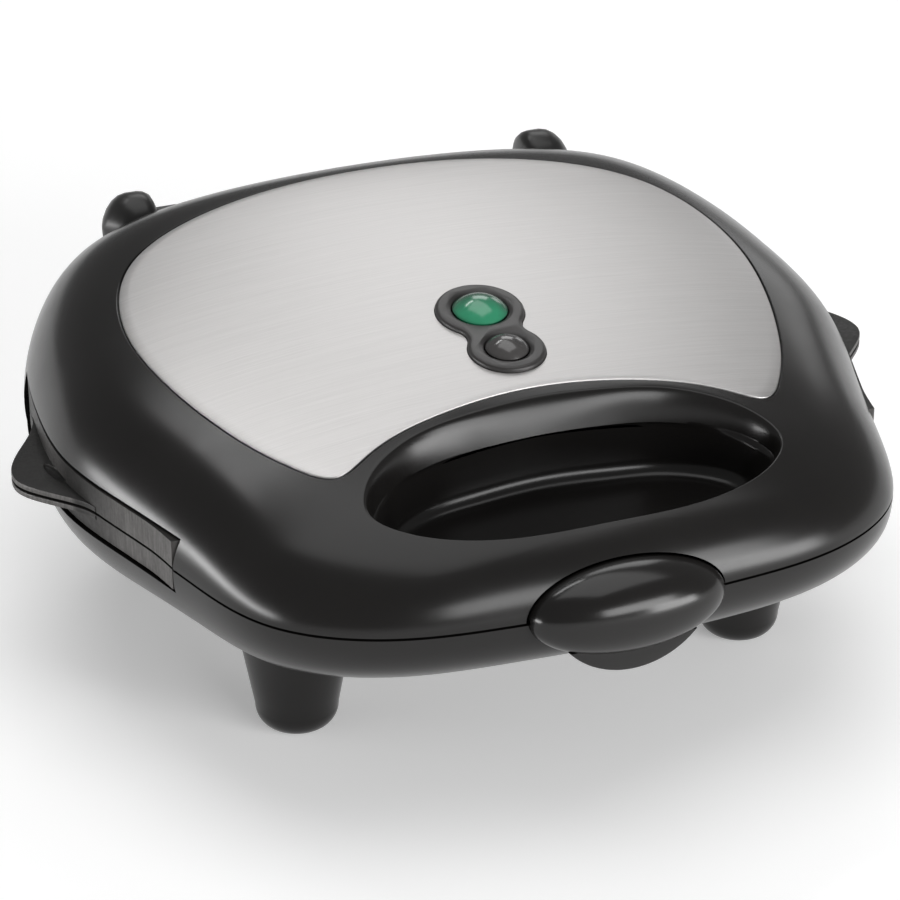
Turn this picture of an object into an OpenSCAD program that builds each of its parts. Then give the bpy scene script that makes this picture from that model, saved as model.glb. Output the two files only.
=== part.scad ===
// Sandwich toaster: two deep plastic covers, a hinged lid with a finger well, and removable plates.
// Millimetres. X to the right, Y to the back, Z up. The origin is on the table, under the middle.
// The pieces of the upper half are drawn in place; the lower half's copies are their mirror
// images in the parting plane.

/* [Covers] */
// Width of the covers, without the plates' ears
body_w = 250; // [246:1:258]
// Depth of the covers, without the latch and the hinge ears
body_d = 230; // [228:1:236]
// Height of the parting plane between base and lid
parting_z = 63.7; // [62:0.5:68]
// Gap between the two rims
seam = 0.8; // [0.6:0.1:1.2]
// Rise of the lid's crown over the parting plane
lid_rise = 49.8; // [49:0.5:54]
// Depth of the base's belly under the parting plane
base_drop = 39; // [37:0.5:42]
// Wall of the covers
wall = 2.4; // [1.8:0.1:2.8]
// Height of the side notches over and under the parting plane
notch_rise = 9.3; // [8:0.1:12]
notch_drop = 7.5; // [5.5:0.1:9]
// Distance of the side notches from the covers' front and from their back
notch_front = 65; // [61:1:67]
notch_rear = 49; // [45:1:55]

/* [Top panel and lights] */
// Distance from the covers' widest point to the panel's side
panel_side = 28.5; // [26:0.5:32]
// Distance from the covers' back to the panel's back edge
panel_back = 27; // [25:0.5:32]
// Sheet thickness of the panel
panel_t = 0.8; // [0.6:0.1:1]
// Groove round the panel
panel_groove = 0.6; // [0.4:0.1:1]
// Radius of the large lens
ready_r = 8.2; // [7:0.1:9]
// Radius of the small lens
power_r = 6.4; // [5.5:0.1:7]
// Distance between the two lenses
lens_gap = 21; // [20:0.5:24]
// Width of the bezel's rim round each lens
bezel_rim = 5; // [4:0.25:6]

/* [Finger well] */
// Length of the well's mouth across the lid
well_w = 125; // [118:1:128]
// Width of the well's mouth from front to back
well_d = 52.4; // [48:0.5:54]
// Bar of lid between the well and the front
well_bar = 12.8; // [12:0.1:15]
// Height of the well's floor over the parting plane
well_floor = 5; // [4.6:0.1:8]

/* [Plates] */
// Width of the pan under the bread as a share of the covers' width
pan_share = 0.792; // [0.752:0.004:0.8]
// Distance of the pan from the covers' front and back
pan_front = 73.5; // [73:0.5:79]
pan_back = 25.5; // [25:0.5:31]
// Thickness of the flange that seats on the frame
flange_t = 2.5; // [2:0.1:3]
// Depth of the sandwich moulds
mould_depth = 15; // [12:0.5:16]
// Wall of the cast moulds
mould_wall = 3; // [2.5:0.1:3.5]
// Width of the ridges between the moulds
ridge_w = 5; // [4:0.5:8]
// How far the ears stand out past the covers
ear_reach = 12.5; // [9:0.5:15]
// Middle of the ears behind the middle of the notches
ear_shift = 7; // [3:1:12]
// Thickness of an ear
ear_t = 3; // [2.4:0.1:3.6]

/* [Hinge] */
// Height of the hinge axis
hinge_z = 94; // [93:0.5:95]
// Distance of the hinge axis from the covers' back edge
hinge_back = 2; // [1:0.5:3]
// Radius of the ears round the axis
hinge_r = 10; // [9:0.25:10.5]
// Distance of each hinge ear's middle from the covers' side
hinge_side = 54; // [53:0.5:56]
// Width of each hinge ear
hinge_w = 17.2; // [16:0.2:19]
// Radius of the hinge pins
hinge_pin_r = 2; // [1.5:0.1:2.5]

/* [Latch] */
// Length of the latch's barrel
latch_w = 58; // [54:1:62]
// Radius of the latch's barrel at its middle
latch_r = 12.8; // [12.4:0.2:13.6]
// Height of the latch's pin over the parting plane
latch_rise = 3.8; // [3.6:0.1:5]
// Distance of the latch's pin from the covers' front edge
latch_front = 3; // [2.5:0.25:3.5]
// Radius of the thumb tongue
tongue_r = 25; // [22:0.5:28]
// Radius of the latch pin
latch_pin_r = 1.5; // [1.2:0.1:1.8]

/* [Feet] */
// Distance of the feet from the covers' side, front and back
foot_side = 54.1; // [51:0.5:59]
foot_front = 74; // [67:1:79]
foot_back = 35; // [31:1:45]
// Radius of a foot at its top and at its bottom
foot_top_r = 16.5; // [15:0.5:18]
foot_r = 12.2; // [11:0.2:13.5]

/* [Heating] */
// Radius of the heating element's tube
element_r = 3.2; // [2.8:0.1:3.6]
// Distance of the element's loop from the pan's side and from its front and back
element_side = 29; // [23:1:39]
element_inset = 26; // [24:1:30]
// Sheet thickness of the reflectors
reflector_t = 0.6; // [0.5:0.1:1]

/* [Hidden] */

// Colours
c_gloss = [0.06, 0.055, 0.055];
c_frame = [0.10, 0.10, 0.10];
c_panel = [0.80, 0.79, 0.78];
c_bezel = [0.30, 0.29, 0.29];
c_green = [0.10, 0.42, 0.26];
c_smoke = [0.20, 0.19, 0.19];
c_cast = [0.27, 0.27, 0.28];
c_steel = [0.62, 0.62, 0.64];
c_tin = [0.72, 0.73, 0.74];
c_zinc = [0.55, 0.55, 0.56];
c_ceramic = [0.90, 0.88, 0.83];
c_brass = [0.80, 0.66, 0.36];
c_rubber = [0.13, 0.13, 0.13];
c_amber = [0.90, 0.55, 0.25];

// Clearances
fit = 0.4;
slip = 0.06;
touch = 0.2;
cut = 1;
big = 400;

// ---- Places that follow the covers ----
side_x = body_w / 2;
end_y = body_d / 2;
notch_front_y = notch_front - end_y;
notch_rear_y = end_y - notch_rear;
pan_half_w = side_x * pan_share;
pan_front_y = pan_front - end_y;
pan_back_y = end_y - pan_back;
ear_y = (notch_front_y + notch_rear_y) / 2 + ear_shift;
hinge_y = end_y - hinge_back;
hinge_x = side_x - hinge_side;
latch_y = end_y - latch_front;
foot_x = side_x - foot_side;
foot_front_y = foot_front - end_y;
foot_back_y = end_y - foot_back;
element_half_w = pan_half_w - element_side;

// ---- Outlines ----
// Half outlines run from the back middle to the front middle and are mirrored and smoothed.
function spline(a, b, c, d, t) =
    0.5 * (2 * b + (c - a) * t + (2 * a - 5 * b + 4 * c - d) * t * t
    + (3 * b - a - 3 * c + d) * t * t * t);
function whole(half) = concat(half, [for (i = [len(half) - 2 : -1 : 1]) [-half[i][0], half[i][1]]]);
function smooth(p, steps) = [
    for (i = [0 : len(p) - 1]) for (k = [0 : steps - 1])
        spline(p[(i + len(p) - 1) % len(p)], p[i], p[(i + 1) % len(p)], p[(i + 2) % len(p)], k / steps)
];
function at(list, i) = list[(i + len(list)) % len(list)];
function normal(o, i) = let (d = at(o, i + 1) - at(o, i - 1)) [-d[1], d[0]] / norm(d);
function inset(o, d) = [for (i = [0 : len(o) - 1]) o[i] - normal(o, i) * d];
function shrink(o, c, k) = [for (p = o) c + (p - c) * k];
function pull(p, c, d) = c + (p - c) * (1 - d / norm(p - c));

body_key = [
    [0, 1], [0.25, 1], [0.52, 0.99], [0.79, 0.905], [0.94, 0.64], [0.995, 0.33], [1, 0.05],
    [0.935, -0.22], [0.86, -0.49], [0.755, -0.77], [0.53, -0.935], [0.25, -0.985], [0, -1]
];
body_outline = smooth(whole([for (k = body_key) [k[0] * side_x, k[1] * end_y]]), 3);
core = [0, 5];

// Panel: broad at the back, two lobes in front with the well's curve between them
panel_hw = side_x - panel_side;
panel_y = end_y - panel_back;
well_front_y = well_bar - end_y;
well_back_y = well_front_y + well_d;
panel_gap = 4;
panel_front_y = well_back_y + panel_gap;
panel_len = panel_y - panel_front_y;
panel_key = [
    [0, 1], [0.57, 0.948], [0.88, 0.821], [1, 0.589], [0.985, 0.372], [0.89, 0.12], [0.765, -0.067],
    [0.68, -0.127], [0.57, -0.0935], [0.32, -0.026], [0, 0]
];
panel_outline = smooth(whole([for (k = panel_key) [k[0] * panel_hw, panel_front_y + k[1] * panel_len]]), 3);
panel_core = [0, (panel_y + panel_front_y) / 2];

// Mouth of the finger well
well_key = [
    [0, 0], [0.33, 0.03], [0.60, 0.09], [0.82, 0.22], [0.96, 0.40], [1, 0.57],
    [0.91, 0.74], [0.70, 0.89], [0.40, 0.975], [0, 1]
];
well_outline = smooth(whole([for (k = well_key) [k[0] * well_w / 2, well_back_y - k[1] * well_d]]), 3);
well_core = [0, (well_front_y + well_back_y) / 2 - 4];

// ---- Height of the covers ----
// The crown falls from its highest line to the front edge and to the sides by named amounts, and
// the belly rises to the front edge.
lid_rim = parting_z + seam / 2;
base_rim = parting_z - seam / 2;
crown_back = 17;
crown_fall = 29.33;
side_fall = 15.625;
crown_y = end_y + crown_back;
crown_rx = pow(side_x, 2) / (2 * side_fall);
crown_ry = pow(crown_y + end_y, 2) / (2 * crown_fall);
belly_back = 75;
belly_rise = 12;
belly_y = end_y - belly_back;
belly_ry = pow(belly_y + end_y, 2) / (2 * belly_rise);
function crown(p) =
    parting_z + lid_rise - p[0] * p[0] / (2 * crown_rx) - pow(p[1] - crown_y, 2) / (2 * crown_ry);
function belly(p) = parting_z - base_drop + pow(p[1] - belly_y, 2) / (2 * belly_ry);
function lid_shape(rho) = pow(max(0, 1 - pow(rho, 12.8)), 0.64);
function base_shape(rho) = pow(max(0, 1 - pow(rho, 4)), 0.4);

// Distance from the core to the outline, in the direction of a point
function cross2(a, b) = a[0] * b[1] - a[1] * b[0];
function reach(p, o) = let (
    d = (p - core) / max(norm(p - core), 0.001),
    hits = [
        for (i = [0 : len(o) - 1]) let (a = o[i] - core, b = at(o, i + 1) - core)
            if (cross2(a, d) <= 0 && cross2(b, d) > 0) cross2(a, b - a) / cross2(d, b - a)
    ]
) max(hits);
function lid_z(p) = lid_rim + (crown(p) - lid_rim) * lid_shape(norm(p - core) / reach(p, body_outline));

lid_rho = [1, 0.997, 0.99, 0.98, 0.965, 0.945, 0.92, 0.885, 0.83, 0.7, 0.4];
base_rho = [0.35, 0.62, 0.78, 0.88, 0.94, 0.975, 0.993, 1];
// The inner faces take every second point and ring
function every2(list) = [for (i = [0 : 2 : len(list) - 1]) list[i]];

// ---- Lofts ----
// A loft joins rings of points from the bottom up; each ring runs clockwise as seen from above.
function lift(o, z) = [for (p = o) [p[0], p[1], z]];
function ring_faces(n, a, b) = [
    for (i = [0 : n - 1]) let (j = (i + 1) % n) each [[a + j, b + j, b + i], [a + j, b + i, a + i]]
];
function ring_middle(r) = [for (k = [0 : 2]) [for (p = r) p[k]] * [for (p = r) 1]] / len(r);
module loft(rings) {
    n = len(rings[0]);
    m = len(rings);
    points = concat([for (r = rings) each r], [ring_middle(rings[0]), ring_middle(rings[m - 1])]);
    faces = concat(
        [for (i = [0 : n - 1]) [n * m, (i + 1) % n, i]],
        [for (r = [0 : m - 2]) each ring_faces(n, r * n, (r + 1) * n)],
        [for (i = [0 : n - 1]) [n * m + 1, (m - 1) * n + i, (m - 1) * n + (i + 1) % n]]
    );
    polyhedron(points, faces);
}

// Space under the lid's skin, drawn in by t on every side
module lid_space(t) {
    o = t > 0 ? every2(inset(body_outline, t)) : body_outline;
    loft(concat(
        t > 0 ? [lift(o, lid_rim - 3 * t)] : [],
        [for (r = t > 0 ? every2(lid_rho) : lid_rho) [
            for (p = shrink(o, core, r)) [p[0], p[1], lid_rim + (crown(p) - lid_rim) * lid_shape(r) - t]
        ]]
    ));
}

// Space over the base's skin, drawn in by t on every side
module base_space(t) {
    o = t > 0 ? every2(inset(body_outline, t)) : body_outline;
    loft(concat(
        [for (r = t > 0 ? every2(concat([0], base_rho)) : base_rho) [
            for (p = shrink(o, core, r)) [p[0], p[1], base_rim - (base_rim - belly(p)) * base_shape(r) + t]
        ]],
        t > 0 ? [lift(o, base_rim + 3 * t)] : []
    ));
}

// Sheet that follows the lid's skin inside an outline, from lo to hi over the skin
module skin_sheet(o, c, lo, hi) {
    steps = [1, 0.75, 0.4];
    function skin(k, dz) = [for (p = shrink(o, c, k)) [p[0], p[1], lid_z(p) + dz]];
    loft(concat(
        [for (i = [len(steps) - 1 : -1 : 0]) skin(steps[i], lo)],
        [for (k = steps) skin(k, hi)]
    ));
}

// Solid of the finger well, grown by t: a soft lip, drafted walls and a flat floor
well_z = parting_z + well_floor;
function well_share(p) = (p[1] - well_front_y) / well_d;
function lip_in(p) = 1.2 + 1.8 * well_share(p);
function lip_depth(p) = 2.5 + 7.5 * well_share(p);
module well_solid(t) {
    o = t > 0 ? every2(well_outline) : well_outline;
    function lip(a) = [for (p = o) let (q = pull(p, well_core, lip_in(p) * sin(a) - t))
        [q[0], q[1], lid_z(p) - lip_depth(p) * (1 - cos(a)) - t]];
    function wall_at(d, z) = lift([for (p = o) pull(p, well_core, d - t)], z - t);
    loft(concat(
        t > 0 ? [] : [wall_at(11.5, well_z)],
        [wall_at(9, well_z + 1), wall_at(8, well_z + 3.5), lip(90), lip(60), lip(30)],
        t > 0 ? [] : [lip(0), [for (p = o) [p[0], p[1], lid_z(p) + 20]]]
    ));
}

module flip() {
    translate([0, 0, 2 * parting_z])
        mirror([0, 0, 1])
            children();
}
module both() {
    children();
    mirror([1, 0, 0])
        children();
}
module at_corners(x, y_front, y_back) {
    for (sx = [-1, 1])
        for (y = [y_front, y_back])
            translate([sx * x, y, 0])
                children();
}

// ---- Stack of the heating half, measured from the parting plane ----
flange_z = parting_z + seam / 2 + flange_t;
deck_t = 2;
mould_z = lid_rim + mould_depth + mould_wall;
element_z = mould_z + touch + element_r;
reflector_z = element_z + element_r + 0.5;
reflector_top = reflector_z + reflector_t;
nose_z = lid_rim + fit;
nose_y = pan_front_y - 5;

// Screws: front pair beside the well, back pair behind the plates
screw_r = 1.5;
screw_head_r = 2.9;
screw_front = [side_x - 43, 43 - end_y];
screw_back = [36, end_y - 12.5];
pillar_x = pan_half_w - 39;
pillar_front_y = pan_front_y + 37.5;
pillar_back_y = pan_back_y - 33.5;

module boss(r1, r2, z1, z2) {
    translate([0, 0, z1])
        cylinder(r1 = r1, r2 = r2, h = z2 - z1, $fn = 12);
}

// ---- Cut-outs shared by cover and frame ----
slot_in = hinge_x - hinge_w / 2 - 8.2;
slot_out = hinge_x + hinge_w / 2 + 1;
module side_notch(z1, z2) {
    both()
        translate([side_x - 30, notch_front_y, z1])
            cube([50, notch_rear_y - notch_front_y, z2 - z1]);
}

// ==== Lid ====
// The barrel's middle is a little in front of the pin and under it
latch_z = parting_z + latch_rise;
barrel_y = latch_y + 1.5;
barrel_z = latch_z - 3.6;
cheek_r = latch_rise - seam / 2 - touch;
lens_back = 29;
lens_y = panel_front_y + lens_back;
lens_tilt = asin((crown_y - lens_y) / crown_ry);
lens_z = lid_z([0, lens_y]);

// Puts a piece of the lights on the skin, level with the slope there
module on_slope() {
    translate([0, lens_y, lens_z])
        rotate([lens_tilt, 0, 0])
            children();
}
ready_at = [0, lens_gap / 2, 0];
power_at = [0, -lens_gap / 2, 0];
bezel_top = 1.3;
bezel_h = 2.5;

tab_n = 8;
tab_w = 6;
module at_tabs() {
    o = inset(panel_outline, 4);
    for (k = [0 : tab_n - 1]) {
        p = at(o, 4 + round(k * len(o) / tab_n));
        translate([p[0], p[1], lid_z(p)])
            rotate([0, 0, atan2(p[1] - panel_core[1], p[0])])
                children();
    }
}

module bezel_outline(grow) {
    r1 = ready_r + bezel_rim + grow;
    r2 = power_r + bezel_rim + grow;
    neck = 6;
    // centres of the two hollows that draw the waist in, touching both lobes
    d = lens_gap;
    y = (pow(r1 + neck, 2) - pow(r2 + neck, 2) + d * d) / (2 * d);
    x = sqrt(pow(r1 + neck, 2) - y * y);
    difference() {
        union() {
            translate([0, d / 2])
                circle(r = r1, $fn = 48);
            translate([0, -d / 2])
                circle(r = r2, $fn = 48);
            polygon([[x, d / 2 - y], [0, d / 2], [-x, d / 2 - y], [0, -d / 2]]);
        }
        for (s = [-1, 1])
            translate([s * x, d / 2 - y])
                circle(r = neck, $fn = 32);
    }
}

module upper_cover() {
    color(c_gloss)
        difference() {
            union() {
                difference() {
                    lid_space(0);
                    lid_space(wall);
                }
                intersection() {
                    lid_space(wall / 2);
                    union() {
                        well_solid(2);
                        at_corners(screw_front[0], screw_front[1], screw_front[1])
                            translate([0, 0, nose_z + deck_t])
                                boss(4, 5, 0, 60);
                        at_corners(screw_back[0], screw_back[1], screw_back[1])
                            translate([0, 0, flange_z + deck_t])
                                boss(4, 5, 0, 60);
                        at_corners(pillar_x, pillar_front_y, pillar_back_y)
                            translate([0, 0, reflector_top + touch])
                                boss(3, 4, 0, 40);
                    }
                }
            }
            well_solid(0);
            skin_sheet(inset(panel_outline, -panel_groove), panel_core, -panel_t - 0.1, 10);
            at_tabs()
                translate([-1, -tab_w / 2 - fit, -6])
                    cube([2, tab_w + 2 * fit, 12]);
            side_notch(lid_rim - cut, parting_z + notch_rise);
            both()
                hinge_slot();
            latch_seat();
            at_corners(screw_front[0], screw_front[1], screw_front[1])
                translate([0, 0, nose_z])
                    cylinder(r = screw_r + 0.1, h = 14, $fn = 12);
            at_corners(screw_back[0], screw_back[1], screw_back[1])
                translate([0, 0, flange_z])
                    cylinder(r = screw_r + 0.1, h = 14, $fn = 12);
            on_slope() {
                for (a = [ready_at, power_at])
                    translate(a + [0, 0, -10])
                        cylinder(r = 3.4, h = 20, $fn = 16);
            }
            on_slope()
                translate([0, 0, bezel_top - bezel_h - touch])
                    linear_extrude(10)
                        bezel_outline(fit);
        }
}

// Slot in the lid's back wall for a hinge ear and its lug
slot_deep = 12.5;
module hinge_slot() {
    translate([slot_in, hinge_y - slot_deep, lid_rim - cut])
        cube([slot_out - slot_in, 40, hinge_z - lid_rim + cut]);
    // a low round over the lug and a high one over the ear
    for (k = [[slot_in, lug_r + 1, slot_mid - slot_in], [slot_mid, hinge_r + 1, slot_out - slot_mid]])
        translate([k[0], hinge_y, hinge_z])
            rotate([0, 90, 0])
                cylinder(r = k[1], h = k[2], $fn = 24);
}

// Opening in the lid's front for the latch's barrel
seat_gap = 0.6;
module latch_seat() {
    intersection() {
        latch_barrel(seat_gap, 28, 18);
        translate([-big / 2, -big, lid_rim - cut])
            cube([big, big, big]);
    }
}
module latch_barrel(grow, sides, step) {
    translate([0, -barrel_y, barrel_z])
        rotate([0, 90, 0])
            rotate_extrude($fn = sides)
                polygon([for (a = [-90 : step : 90])
                    [(latch_r + grow) * cos(a), (latch_w / 2 + grow) * sin(a)]]);
}

module top_panel() {
    color(c_panel)
        difference() {
            union() {
                skin_sheet(panel_outline, panel_core, -panel_t, 0);
                at_tabs()
                    hull() {
                        translate([-0.4, -tab_w / 2, -2])
                            cube([panel_t, tab_w, 1.5]);
                        translate([-0.4, -tab_w / 3, -5])
                            cube([panel_t, tab_w * 2 / 3, 1]);
                    }
            }
            on_slope()
                translate([0, 0, -8])
                    linear_extrude(16)
                        bezel_outline(touch);
        }
}

module light_bezel() {
    color(c_bezel)
        on_slope()
            difference() {
                translate([0, 0, bezel_top - bezel_h])
                    linear_extrude(bezel_h)
                        bezel_outline(0);
                translate(ready_at + [0, 0, -5])
                    cylinder(r = ready_r + touch, h = 10, $fn = 64);
                translate(power_at + [0, 0, -5])
                    cylinder(r = power_r + touch, h = 10, $fn = 64);
            }
}

// Domed lens with a hollow for the lamp; its foot stands on the lid
module lens(r, rise) {
    h = bezel_h;
    sphere_r = (r * r + rise * rise) / (2 * rise);
    a_end = asin(r / sphere_r);
    translate([0, 0, bezel_top - h])
        rotate_extrude($fn = 64)
            polygon(concat(
                [[2.8, 0], [r, 0]],
                [for (k = [0 : 8]) let (a = a_end * (1 - k / 8))
                    [sphere_r * sin(a), h + rise + sphere_r * (cos(a) - 1)]],
                [[0, h - 0.5], [2.8, h - 0.5]]
            ));
}
module ready_lens() {
    color(c_green)
        on_slope()
            translate(ready_at)
                lens(ready_r, 3.4);
}
module power_lens() {
    color(c_smoke)
        on_slope()
            translate(power_at)
                lens(power_r, 2.8);
}
module indicator_lamps() {
    color(c_amber)
        on_slope()
            for (a = [ready_at, power_at])
                translate(a + [0, 0, -3.4])
                    rotate_extrude($fn = 32)
                        polygon([[0, 0], [3.2, 0], [3.2, 2], [2.4, 2], [2.4, 3.2], [1.6, 3.8], [0, 4]]);
}

// ==== Frames ====
flange_inset = wall + 1;
deck_inset = wall + 3.8;
hole_gap = 1;
rail = 4.2;
module deck_outline() {
    o = inset(body_outline, deck_inset);
    limit = pan_half_w + rail;
    polygon([for (p = o) [max(-limit, min(limit, p[0])), p[1]]]);
}

// Deck round a plate, with the nose deck in front of it at its own level
module deck(slot_back) {
    difference() {
        union() {
            intersection() {
                translate([0, 0, flange_z])
                    linear_extrude(deck_t)
                        deck_outline();
                translate([-big / 2, nose_y - deck_t, 0])
                    cube([big, big, big]);
            }
            intersection() {
                translate([0, 0, nose_z])
                    linear_extrude(deck_t)
                        deck_outline();
                translate([-big / 2, nose_y - big, 0])
                    cube([big, big, big]);
            }
            intersection() {
                translate([0, 0, nose_z])
                    linear_extrude(flange_z + deck_t - nose_z)
                        deck_outline();
                translate([-big / 2, nose_y - deck_t, 0])
                    cube([big, deck_t, big]);
            }
        }
        translate([-pan_half_w - hole_gap, pan_front_y - hole_gap, 0])
            cube([2 * (pan_half_w + hole_gap), pan_back_y - pan_front_y + 2 * hole_gap, big]);
        both()
            translate([slot_in, slot_back, 0])
                cube([slot_out - slot_in, big, big]);
    }
}

lug_in = slot_in + 0.8;
lug_w = 6.4;
lug_r = 4;
slot_mid = lug_in + lug_w + touch;
latch_cheek = [16, 4];
cheek_l = 8;
latch_room = 4.6;
module upper_frame() {
    color(c_frame) {
        difference() {
            deck(hinge_y - hinge_r - 1.6);
            // room for the latch in the nose deck
            translate([-latch_w / 2 - 1, -big, 0])
                cube([latch_w + 2, big - latch_y + latch_room, big]);
            at_corners(screw_front[0], screw_front[1], screw_front[1])
                translate([0, 0, nose_z])
                    screw_hole();
            at_corners(screw_back[0], screw_back[1], screw_back[1])
                translate([0, 0, flange_z])
                    screw_hole();
        }
        both() {
            hinge_lug();
            latch_cheek_solid();
        }
    }
}
// Countersunk hole for a lid screw
module screw_hole() {
    translate([0, 0, -0.01])
        cylinder(r1 = screw_head_r + 0.1, r2 = screw_r + 0.1, h = 1.62, $fn = 32);
    cylinder(r = screw_r + 0.1, h = 2 * deck_t, $fn = 32);
}
module hinge_lug() {
    difference() {
        union() {
            translate([lug_in, hinge_y, hinge_z])
                rotate([0, 90, 0])
                    cylinder(r = lug_r, h = lug_w, $fn = 40);
            translate([lug_in, 0, 0])
                rotate([90, 0, 90])
                    linear_extrude(lug_w)
                        polygon([
                            [hinge_y - 18, flange_z], [hinge_y - 9, flange_z],
                            [hinge_y + 3.5, hinge_z - 1.9], [hinge_y - 3, hinge_z + 2.6],
                            [hinge_y - 18, flange_z + 8]
                        ]);
        }
        translate([lug_in - cut, hinge_y, hinge_z])
            rotate([0, 90, 0])
                cylinder(r = hinge_pin_r + slip, h = lug_w + 2 * cut, $fn = 40);
    }
}
module latch_cheek_solid() {
    difference() {
        union() {
            translate([latch_cheek[0], -latch_y, latch_z])
                rotate([0, 90, 0])
                    cylinder(r = cheek_r, h = latch_cheek[1], $fn = 40);
            translate([latch_cheek[0], -latch_y, nose_z])
                cube([latch_cheek[1], cheek_l, 2 * (latch_z - nose_z)]);
        }
        translate([latch_cheek[0] - cut, -latch_y, latch_z])
            rotate([0, 90, 0])
                cylinder(r = latch_pin_r, h = latch_cheek[1] + 2 * cut, $fn = 40);
    }
}

// ==== Plates ====
flange_gap = 0.8;

// Cast flange: its sides follow the covers, its front and back run straight
flange_front_y = pan_front_y - rail;
flange_back_y = pan_back_y + rail;
module flange_outline() {
    intersection() {
        polygon(inset(body_outline, flange_inset));
        translate([-big / 2, flange_front_y])
            square([big, flange_back_y - flange_front_y]);
        polygon([
            [-big, notch_front_y + 2], [-big, notch_rear_y - 2], [-pan_half_w - rail, notch_rear_y - 2],
            [-pan_half_w - rail, big], [pan_half_w + rail, big], [pan_half_w + rail, notch_rear_y - 2],
            [big, notch_rear_y - 2], [big, notch_front_y + 2]
        ]);
    }
}

// Ear: a bell curve on the covers' side that runs out into the notch's wall
ear_root = 42;
ear_step = 4.2;
ear_in = 1.2;
ear_width = 17;
function side_at(y) = lookup(y, [for (p = body_outline) if (p[0] >= 0) [p[1], p[0]]]);
function bell(d) = 1 / (1 + pow(abs(d) / ear_width, 3));
module ear_outline() {
    tip = (ear_reach + ear_in) / (1 - bell(ear_root));
    inner = pan_half_w + rail + fit;
    polygon(concat(
        [for (d = [-ear_root : ear_step : ear_root])
            [side_at(ear_y + d) - ear_in + tip * (bell(d) - bell(ear_root)), ear_y + d]],
        [[inner, ear_y + ear_root], [inner, ear_y - ear_root]]
    ));
}
// Finger rest sunk into the ear beside the wall
rest_l = 13;
rest_r = 2;
rest_depth = 1;
module ear_rest() {
    for (s = [0, 1])
        translate([side_at(ear_y) + 0.2 + s * 0.8, ear_y - 11 + s * rest_l])
            circle(r = rest_r, $fn = 12);
}

// Wall on the flange that closes the side notch
notch_wall_in = 1.5;
notch_wall_t = 2.2;
notch_wall_end = 1;
notch_steps = 7;
module notch_wall(h) {
    span = notch_rear_y - notch_front_y - 2 * notch_wall_end;
    ys = [for (k = [0 : notch_steps]) notch_front_y + notch_wall_end + span * k / notch_steps];
    back = [for (k = [0 : notch_steps]) ys[notch_steps - k]];
    function wall_line(ys, d) = [for (y = ys) [side_at(y) - d, y]];
    both()
        translate([0, 0, lid_rim]) {
            linear_extrude(h - seam / 2 - flange_gap)
                polygon(concat(
                    wall_line(ys, notch_wall_in), wall_line(back, notch_wall_in + notch_wall_t)
                ));
            linear_extrude(flange_t - fit)
                polygon(concat(wall_line(ys, notch_wall_in + touch), wall_line(back, 3 * notch_wall_t)));
        }
}

// Triangular mould in two steps: steep walls from the mouth at z1, then a rounded crown at z2
module mould(corners, r, z1, z2) {
    middle = (corners[0] + corners[1] + corners[2]) / 3;
    knee = z1 + (z2 - z1) * 0.7;
    mould_step(corners, middle, r, [0, z1], [mould_draft * 0.45, knee]);
    mould_step(corners, middle, r, [mould_draft * 0.45, knee - 0.1], [mould_draft, z2]);
}
module mould_step(corners, middle, r, low, high) {
    hull()
        for (c = corners)
            for (k = [low, high]) {
                q = pull(c, middle, k[0]);
                translate([q[0], q[1], k == low ? k[1] : k[1] - 0.1])
                    cylinder(r = r, h = 0.1, $fn = 12);
            }
}
mould_draft = 12;
mould_rim = 6;
mould_r = 5;
mould_in_x = ridge_w / 2 + mould_r;
mould_out_x = pan_half_w - mould_rim - mould_r;
mould_front_y = pan_front_y + mould_rim + mould_r;
mould_back_y = pan_back_y - mould_rim - mould_r;
ridge_cut = ridge_w + 2 * mould_r;
module moulds(grow, z1, z2) {
    both() {
        mould([[mould_in_x, mould_front_y + ridge_cut], [mould_in_x, mould_back_y],
            [mould_out_x - ridge_cut, mould_back_y]], mould_r + grow, z1, z2);
        mould([[mould_in_x + ridge_cut, mould_front_y], [mould_out_x, mould_front_y],
            [mould_out_x, mould_back_y - ridge_cut]], mould_r + grow, z1, z2);
    }
}

clip_x = 30;
clip_w = 14;
module plate(notch_h) {
    color(c_cast)
        difference() {
            union() {
                translate([0, 0, lid_rim])
                    linear_extrude(flange_t)
                        flange_outline();
                both()
                    translate([0, 0, lid_rim])
                        linear_extrude(ear_t)
                            ear_outline();
                notch_wall(notch_h);
                moulds(mould_wall, lid_rim, mould_z);
            }
            moulds(0, lid_rim - 0.5, lid_rim + mould_depth);
            both()
                translate([0, 0, lid_rim + ear_t - rest_depth])
                    linear_extrude(2 * rest_depth)
                        hull()
                            ear_rest();
            at_clips()
                translate([-clip_w / 2, -4, lid_rim - cut])
                    cube([clip_w, 4 + cut, cut + 1.3]);
        }
}

// Clip places on the front and back edges of the flange, each facing out along -Y
module at_clips() {
    both() {
        translate([clip_x, flange_front_y + 3, 0])
            children();
        translate([clip_x, flange_back_y - 3, 0])
            mirror([0, 1, 0])
                children();
    }
}
module clips() {
    color(c_zinc)
        at_clips() {
            translate([-clip_w / 2 + 1, -3.4, lid_rim + 0.4])
                cube([clip_w - 2, 3, 0.6]);
            translate([-clip_w / 2 + 1, -3.4, lid_rim + 0.4])
                cube([clip_w - 2, 0.4, flange_z - lid_rim - 0.4]);
        }
}

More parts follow.
